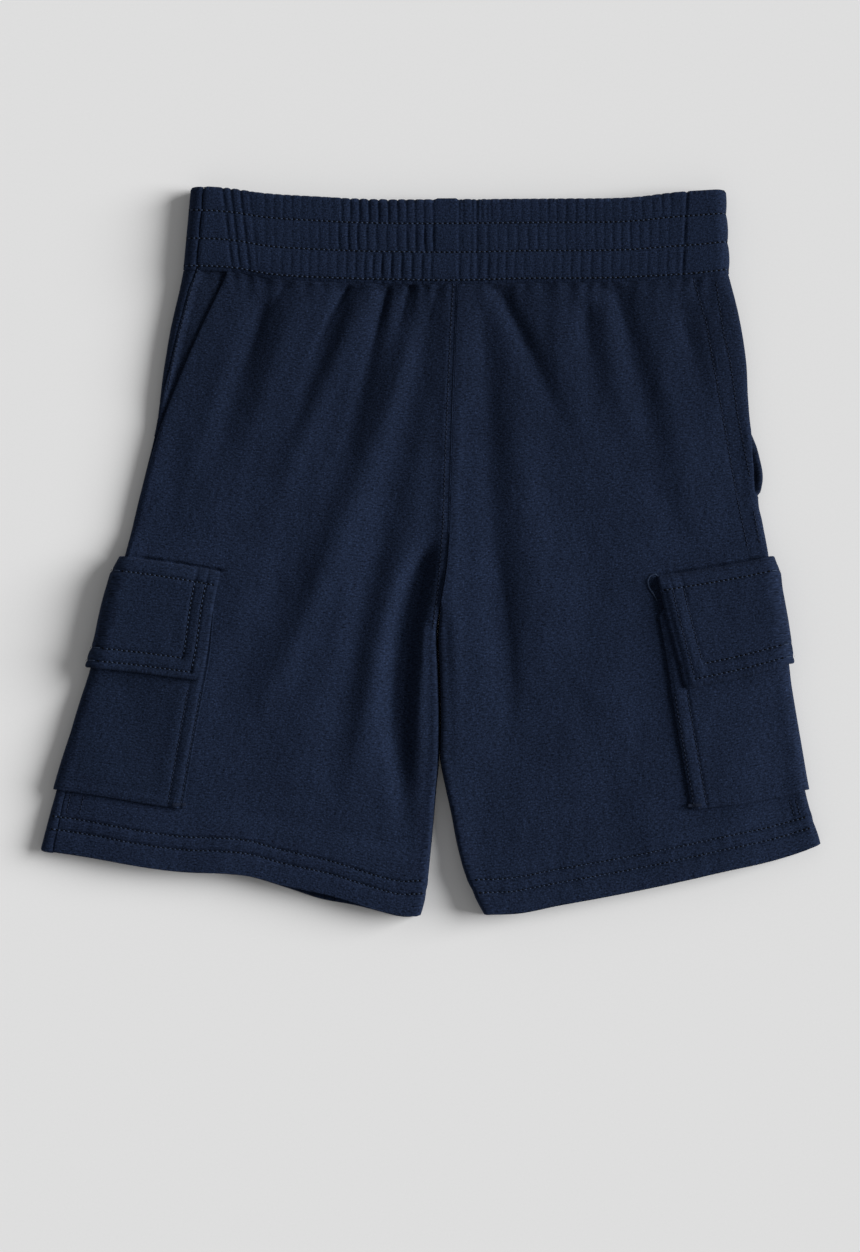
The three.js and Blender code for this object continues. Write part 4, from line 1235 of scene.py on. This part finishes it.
class Facing:
    """Cloth that shows inside a hand-pocket mouth."""

    def __init__(self, half: Half, name: str, low: float, high: float) -> None:
        """Keep the half and the heights it runs between."""
        self.half, self.name, self.low, self.high = half, name, low, high

    def inset(self, v: np.ndarray, reach: np.ndarray) -> np.ndarray:
        """How far the facing lies inside the outer face: it drops inwards beyond the side seam."""
        y = self.half.side_y(v)
        begin = self.half.seam(y) + GAP
        if self.half is RIGHT:
            mouth = self.half.mouth(y)
            return 0.4 + (FACING_INSET + 0.6) * smooth(reach, mouth - 5.2, mouth - 2.2)
        free = np.maximum(np.minimum(FACING_TURN, self.half.mouth(y) - begin - GAP), 0.5)
        return FACING_INSET * smooth((reach - begin) / free, 0, 1)

    def surface(self, x: np.ndarray, y: np.ndarray, lift: float) -> np.ndarray:
        """Points on the facing above plan points."""
        v, reach = self.half.locate(x, y)
        return self.half.at(v, reach, lift - self.inset(v, reach))

    def build(self, looks: Looks) -> bpy.types.Object:
        """The facing from the side seam to under the front panel's edge."""
        half = self.half
        y = np.linspace(self.low, self.high, 70)
        v = half.row_at(y)
        share = np.linspace(0, 1, 24)[:, None]
        reach = mix(half.seam(y) + GAP, half.mouth(y) + FACING_UNDERLAP, share)
        vv = np.broadcast_to(v[None], reach.shape)
        inset = self.inset(vv, reach)
        outer = half.at(vv, reach, -inset)
        inner = half.at(vv, reach, -inset - FACING_WALL)
        uv = np.stack([reach + 300, np.broadcast_to(y[None], reach.shape)], axis=-1)
        obj = cloth_object(self.name, outer, inner, uv, (0.1, 0.1, 0.1, 0.1), looks.facing)
        stand_for(obj, self.name)
        return obj


@dataclass(frozen=True)
class Patch:
    """Outline of a piece sewn on the side: heights, tilts, and reach round the front."""

    top: float
    bottom: float
    top_tilt: float
    bottom_tilt: float
    front_top: float
    front_bottom: float


class Wrapped:
    """Cargo pocket or flap: it wraps from the back round the outline to the front."""

    corner = 0.0

    def __init__(self, half: Half, name: str, patch: Patch, back: float, wall: float) -> None:
        """Keep the patch and its sizes."""
        self.half, self.name, self.patch, self.back, self.wall = half, name, patch, back, wall
        below = ("cargo_flap", "cargo_pocket") if "flap" in name else ("cargo_pocket", "front")
        self.under_name = name.replace(*below) + "_cloth"

    def front(self, t: np.ndarray) -> np.ndarray:
        """Reach of the front edge at t (0 bottom to 1 top), drawn in at the top corner."""
        return mix(self.patch.front_bottom, self.patch.front_top, t) - self.corner * smooth(t, 0.9, 1) ** 2

    def tilt(self, t: np.ndarray) -> np.ndarray:
        """How steeply the level t falls along the reach."""
        return mix(self.patch.bottom_tilt, self.patch.top_tilt, smooth(t, 0, 1))

    def row(self, t: np.ndarray, reach: np.ndarray) -> np.ndarray:
        """Row of the body at the level t, which is tilted on the front only."""
        level = mix(self.patch.bottom, self.patch.top, t)
        return self.half.row_at(level - self.tilt(t) * np.maximum(reach, 0))

    def inside(self, v: np.ndarray, reach: np.ndarray) -> tuple[np.ndarray, np.ndarray]:
        """Distance inside the front edge and above the bottom edge at a row and reach."""
        p, y = self.patch, self.half.side_y(v)
        t = np.clip((y - p.bottom) / (p.top - p.bottom), 0, 1)
        return self.front(t) - reach, y + self.tilt(t) * np.maximum(reach, 0) - p.bottom

    def out(self, v: np.ndarray, reach: np.ndarray) -> np.ndarray:
        """Height of the outer face beyond the body."""
        raise NotImplementedError

    def surface(self, x: np.ndarray, y: np.ndarray, lift: float) -> np.ndarray:
        """Points on the piece above plan points."""
        v, reach = self.half.locate(x, y)
        return self.half.at(v, reach, self.out(v, reach) + lift)

    def trace(self, t: np.ndarray, reach: np.ndarray) -> Row:
        """Row in the plan through levels and reaches of the piece."""
        v = self.row(t, reach)
        return Row(self.half.at(v, reach, np.zeros_like(v))[:, :2])

    def line(self, inset: float, start: float, end: float) -> Row:
        """Row in the plan at an inset from the front edge, between two heights above the bottom."""
        t = np.linspace(start, end, 24) / (self.patch.top - self.patch.bottom)
        return self.trace(t, self.front(t) - inset)

    def across(self, up: float, inset: float) -> Row:
        """Row in the plan at a height above the bottom, from the outline to an inset."""
        t = up / (self.patch.top - self.patch.bottom)
        return self.trace(t, np.linspace(0.3, self.front(t) - inset, 30))

    def make(
        self, looks: Looks, columns: int, rows: int, flat: tuple[float, float], rim: tuple
    ) -> bpy.types.Object:
        """The piece as one closed cloth lying on the body."""
        span = self.back + max(self.patch.front_bottom, self.patch.front_top)
        share = spaced(span, span / columns, (4, 16), 0.62) / span
        tall = self.patch.top - self.patch.bottom
        t = spaced(tall, tall / rows, (16, 12), 0.62) / tall
        reach = mix(-self.back, self.front(t[None]), share[:, None])
        vv, reach = np.broadcast_arrays(self.row(t[None], reach), reach)
        out, plain = self.out(vv, reach), self.flat_out(vv)
        outer = self.half.at(vv, reach, np.where(reach < -3, plain, out))
        inside = np.where(reach < -3, plain, np.minimum(out, plain + 1.2)) - self.wall
        inner = self.half.at(vv, reach, np.maximum(inside, 0.12))
        uv = np.stack([reach + 150, vv * 290 + 700], axis=-1)
        # Left pieces take the darker copy of the fleece (painted shade), right pieces the lighter copy
        # (painted light)
        finish = looks.pocket if self.half is RIGHT else looks.pocket_left
        obj = cloth_object(self.name, outer, inner, uv, rim, finish)
        stand_for(obj, self.name)
        return obj

    def flat_out(self, v: np.ndarray) -> np.ndarray:
        """Height of the outer face of the plain solid beyond the body."""
        raise NotImplementedError


class Pocket(Wrapped):
    """Flat patch pocket with two rows of stitching along its front edge."""

    corner = 9.0
    ROWS = (1.1, 7.4)

    def flat_out(self, v: np.ndarray) -> np.ndarray:
        """The pocket lies close on the body."""
        return np.full(np.shape(v), POCKET_OUT + self.wall)

    def out(self, v: np.ndarray, reach: np.ndarray) -> np.ndarray:
        """Close on the body, with a raised front edge, stitch grooves and soft wrinkles."""
        edge, up = self.inside(v, reach)
        puff = 0.55 * bell(edge, 3.4, 2.4) + 0.35 * bell(edge, 10.5, 3.4)
        first, second = self.ROWS
        rows = -0.7 * bell(edge, first, GROOVE) - 0.5 * bell(edge, second, GROOVE)
        fullness = 0.45 * np.sin(up / 13 + reach / 19) + 0.35 * np.sin(up / 7.3 - reach / 27 + 1)
        fade = smooth(reach, 2, 12) * smooth(edge, 6, 20) * smooth(up, 1, 12)
        lower = 0.45 * bell(up, 2.2, 1.6) - 0.25 * bell(up, 5.0, 1.2)
        pucker = 0.12 * np.sin(up / 1.05 + 1.5 * np.sin(up / 9)) * bell(edge, 4, 5)
        wrinkle = 0.0
        if self.half is RIGHT:
            crest = up - 0.06 * (reach - 20)
            wrinkle = 0.9 * bell(crest, 27, 2.2) - 0.7 * bell(crest, 22.5, 1.8)
            wrinkle = wrinkle * smooth(reach, 2, 8) * (1 - smooth(reach, 18, 34))
            puff = puff * 0.3
            rows = rows + 0.6 * bell(edge, first, GROOVE) - 0.7 * bell(edge, 0, 1.3)
        total = puff + rows + (fullness * 0.5) * fade + lower * smooth(reach, 0, 6) + pucker + wrinkle
        return self.flat_out(v) + total * smooth(reach, -2, 3)

    def build(self, looks: Looks) -> bpy.types.Object:
        """The pocket."""
        return self.make(looks, 60, 46, (0.126, 0.104), (0.3, 0.6, 0.6, 0.3))


class Flap(Wrapped):
    """Doubled flap, sewn down along its top and stitched twice along its front and lower edges."""

    FRONT_ROWS = (4.7, 10.3)
    LOWER_ROWS = (2.5, 8.8)
    TOP_ROW = 6.8

    def flat_out(self, v: np.ndarray) -> np.ndarray:
        """The flap steps up from the body onto the pocket just below its top edge."""
        below = self.patch.top - self.half.side_y(v)
        return mix(GAP, FLAP_OUT, smooth(below, 1, FLAP_SEAT)) + self.wall

    def out(self, v: np.ndarray, reach: np.ndarray) -> np.ndarray:
        """Proud of the pocket along its free edges, with grooves under the rows."""
        edge, up = self.inside(v, reach)
        tall = self.patch.top - self.patch.bottom
        down = tall - up
        near = np.minimum(edge, up)
        proud = (0.3 if self.half is RIGHT else 0.9) * (1 - smooth(near, 0, 15)) * smooth(down, 6, 20)
        front = 0.35 if self.half is RIGHT else 0.7
        rows = -front * bell(edge, self.FRONT_ROWS[0], GROOVE) * (up > 2)
        rows = rows - front * bell(edge, self.FRONT_ROWS[1], GROOVE) * (up > 9)
        rows = rows - 0.8 * bell(up, self.LOWER_ROWS[0], GROOVE) * (edge > 4)
        rows = rows - 1.0 * bell(up, self.LOWER_ROWS[1], 0.9) * (edge > 10)
        rows = rows - 1.1 * bell(down, self.TOP_ROW, 1.0)
        puff = 0.35 * bell(near, 5.4, 2.6) + 0.4 * bell(down, 2.6, 2.4)
        swell = 0.35 * np.sin(reach / 11 + up / 23) * smooth(near, 12, 22) * smooth(down, 6, 14)
        pucker = 0.12 * np.sin(up / 1.1 + 1.3 * np.sin(up / 8)) * bell(edge, 9, 5)
        pucker = pucker + 0.12 * np.sin(reach / 1.1 + np.sin(reach / 9)) * bell(up, 6, 5)
        rim = -0.9 * bell(down, 0, 1.2)
        if self.half is RIGHT:
            rim = rim - 1.1 * bell(edge, 0, 1.7) * smooth(down, 2, 8)
        return self.flat_out(v) + (proud + rows + puff + swell + pucker + rim) * smooth(reach, -2, 4)

    def build(self, looks: Looks) -> bpy.types.Object:
        """The flap."""
        return self.make(looks, 62, 26, (0.114, 0.053), (0.5, 0.9, 0.9, 0.4))


class Shorts:
    """The garment: builds its pieces from the waist down."""

    PULL = {"hems": 1.25, "rise": 0.45, "mouths": 0.3, "sides": 0.3, "seams": 0.3}

    def __init__(self, looks: Looks) -> None:
        """Set out the rows of sewing, then the pieces."""
        self.looks = looks
        self.sewing = Sewing()
        self.band = Band(1)
        self.fronts = [Panel(LEFT, "front_left", 1), Panel(RIGHT, "front_right", 1)]
        self.facings = [Facing(LEFT, "facing_left", 58, 141), Facing(RIGHT, "facing_right", 25, 139.3)]
        pocket_left = Patch(-15, -118.6, 0, 0, 51.5, 65.8)
        pocket_right = Patch(-15, -118.8, 0, -0.06, 59.7, 59)
        flap_left = Patch(-2.7, -57, 0.02, -0.02, 49.5, 54.3)
        flap_right = Patch(-2.7, -55, 0.025, 0.055, 57.4, 52)
        self.pockets = [
            Pocket(LEFT, "cargo_pocket_left", pocket_left, POCKET_BACK - 2, POCKET_WALL),
            Pocket(RIGHT, "cargo_pocket_right", pocket_right, POCKET_BACK - 2, POCKET_WALL),
        ]
        self.flaps = [
            Flap(LEFT, "cargo_flap_left", flap_left, FLAP_BACK, FLAP_WALL),
            Flap(RIGHT, "cargo_flap_right", flap_right, FLAP_BACK, FLAP_WALL),
        ]

    def panel_rows(self) -> dict[str, list[tuple[Half, Row]]]:
        """Every row of sewing on the leg panels, by group."""
        groups: dict[str, list[tuple[Half, Row]]] = {group: [] for group in self.PULL}
        for half, low, high in ((LEFT, -193.5, -3.5), (RIGHT, 23.5, 193.5)):
            x = np.linspace(low, high, 60)
            for up in HEM_ROWS:
                inset = np.clip((x - low) / (high - low), 0, 1)
                shift = up * (0.12 - 0.2 * inset) if half is LEFT else -up * (0.35 - 0.5 * inset)
                line = np.stack([x + shift, half.hem_y(x) + up], axis=1)
                off, y = np.abs(line[:, 0]), line[:, 1]
                on_cloth = off < np.abs(half.side_x(y)) - SIDE_CLEAR
                on_cloth &= (y > GAP_Y) | (off > np.abs(half.inner_x(y)) + INNER_CLEAR)
                groups["hems"].append((half, Row(line[on_cloth])))
        rise = [(459, 283), (456.3, 326), (453.4, 393), (451, 450), (448.6, 526), (443.3, 590), (438.5, 628)]
        groups["rise"].append((LEFT, pixels(*[(x - 5.5, y) for x, y in rise])))
        mouth_b = [(715.8, 283.5), (723.5, 333), (730.7, 365), (737.7, 416.7), (744, 447), (749.6, 476)]
        mouth_a = [(691.9, 275), (706, 321.7), (711, 350), (724.7, 427.5), (736.6, 494.7), (748.5, 552)]
        groups["mouths"] += [(RIGHT, pixels(*mouth_b)), (RIGHT, pixels(*mouth_a))]
        side = [(198.5, 268.5), (187.5, 303), (176.5, 346), (167.5, 389)]
        groups["sides"].append((LEFT, pixels(*side)))
        groups["seams"] += [(LEFT, pixels((71, 793), (66.5, 812))), (LEFT, pixels((84, 795), (79.5, 814)))]
        groups["seams"] += [(RIGHT, pixels((790, 801), (794, 815))), (RIGHT, pixels((796, 800), (800, 814)))]
        groups["seams"] += [(RIGHT, pixels((754, 512), (759, 542)))]
        return groups

    def build(self) -> None:
        """Make every piece and report it."""
        groups = self.panel_rows()
        for group, rows in groups.items():
            for half, row in rows:
                half.rows.append((row, self.PULL[group]))
        for flap in self.flaps:
            tall = flap.patch.top - flap.patch.bottom
            flap.half.rows.append((flap.across(tall + 0.7, -0.8), 1.5))
        for panel in (*self.fronts, Panel(LEFT, "back_left", -1), Panel(RIGHT, "back_right", -1)):
            obj = panel.build(self.looks)
            LOG.info("%s: %d faces", obj.name, len(obj.data.polygons))
        for facing in self.facings:
            LOG.info("%s: built", facing.build(self.looks).name)
        for piece in (self.band, Band(-1), *self.pockets, *self.flaps):
            obj = piece.build(self.looks)
            LOG.info("%s: %d faces", obj.name, len(obj.data.polygons))
        self.sew(groups)

    def sew(self, groups: dict[str, list[tuple[Half, Row]]]) -> None:
        """Stitch every row."""
        for group, rows in groups.items():
            for half, row in rows:
                piece = self.facings[0] if group == "sides" else self.fronts[half is RIGHT]
                self.sewing.sew(group, row, piece.surface)
        band = self.band
        for up in BAND_ROWS:
            w = up / BAND_HEIGHT
            x = np.linspace(band.left_x(w) + 0.6, band.right_x(w) - 0.6, 90)
            row = Row(np.stack([x, mix(waist_seam(x), waist_edge(x), w)], axis=1))
            self.sewing.sew("band", row, band.surface, 2.5, 0.3)
        for pocket in self.pockets:
            group = pocket.name.replace("cargo_", "")
            for inset in pocket.ROWS:
                self.sewing.sew(group, pocket.line(inset, 1.5, 56), pocket.surface)
            corner = pocket.line(1.5, 0.8, 2.0).points[0]
            left, right = tuple(corner + (-3.2, 0.6)), tuple(corner + (3.0, 0.9))
            self.sewing.bar(group, left, right, 1.8, pocket.surface)
        for flap in self.flaps:
            group = flap.name.replace("cargo_", "")
            tall = flap.patch.top - flap.patch.bottom
            for inset, up in zip(flap.FRONT_ROWS, flap.LOWER_ROWS):
                front = "flap_front" if flap.half is RIGHT else group
                self.sewing.sew(front, flap.line(inset, up + 2.4, tall - flap.TOP_ROW), flap.surface)
                self.sewing.sew(group, flap.across(up, inset), flap.surface)
            self.sewing.sew(group, flap.across(tall - flap.TOP_ROW, 1.0), flap.surface)
        loose = pixels((659, 577), (655, 574), (650, 576), (647.5, 581), (649, 588), (654, 595), (657, 601))
        self.sewing.strand("loose", loose, self.fronts[1].surface)
        self.sewing.build(self.looks)


class Studio:
    """Pale floor, soft light from the right and above, camera straight down."""

    LENS = 100.0
    FRAME_LENGTH = 0.626
    CENTRE = (-0.0003, -0.0370)

    def build(self) -> None:
        """Make floor, lights and camera."""
        scene = bpy.context.scene
        scene.view_settings.view_transform = "Standard"
        self.floor()
        self.sun("key", azimuth=80.0, elevation=27.0, spread=36.0, power=4.4)
        world = bpy.data.worlds.new("soft_room")
        world.use_nodes = True
        back = world.node_tree.nodes["Background"]
        back.inputs["Color"].default_value = (1.0, 1.0, 1.0, 1)
        back.inputs["Strength"].default_value = 0.26
        scene.world = world
        self.camera()

    def floor(self) -> None:
        """Large pale sheet with a barely visible grain."""
        mesh = bpy.data.meshes.new("floor")
        size = 6.0
        corners = [(-size, -size, 0), (size, -size, 0), (size, size, 0), (-size, size, 0)]
        mesh.from_pydata(corners, [], [(0, 1, 2, 3)])
        obj = bpy.data.objects.new("floor", mesh)
        obj.location.z = -0.0002
        bpy.context.scene.collection.objects.link(obj)
        mesh.materials.append(speckled("pale_floor", [0.80] * 3, [0.83] * 3, 900, 0.9))

    @staticmethod
    def sun(name: str, azimuth: float, elevation: float, spread: float, power: float) -> None:
        """Even soft light from far away.

        Args:
            name: Name of the light.
            azimuth: Compass bearing it comes from, in degrees: 0 is +Y and 90 is +X.
            elevation: Height above the floor, in degrees.
            spread: Angle the light fills, in degrees.
            power: Irradiance in watts per square metre.
        """
        data = bpy.data.lights.new(name, "SUN")
        data.energy, data.angle = power, math.radians(spread)
        obj = bpy.data.objects.new(name, data)
        bpy.context.scene.collection.objects.link(obj)
        obj.location = (0, 0, 2)
        obj.rotation_euler = (math.radians(elevation - 90), 0, -math.radians(azimuth))

    def camera(self) -> None:
        """Camera above the garment's middle, its long side along the garment."""
        data = bpy.data.cameras.new("camera")
        data.lens, data.sensor_width = self.LENS, 36.0
        data.clip_start, data.clip_end = 0.01, 20
        obj = bpy.data.objects.new("camera", data)
        bpy.context.scene.collection.objects.link(obj)
        obj.location = (*self.CENTRE, self.LENS / 36.0 * self.FRAME_LENGTH + 0.008)
        bpy.context.scene.camera = obj


def write_sizes() -> None:
    """Bring the view layer up to date."""
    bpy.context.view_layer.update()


def main() -> None:
    """Build the garment and the studio."""
    logging.basicConfig(level=logging.INFO, format="%(message)s")
    Shorts(Looks()).build()
    Studio().build()
    write_sizes()


if __name__ == "__main__":
    main()
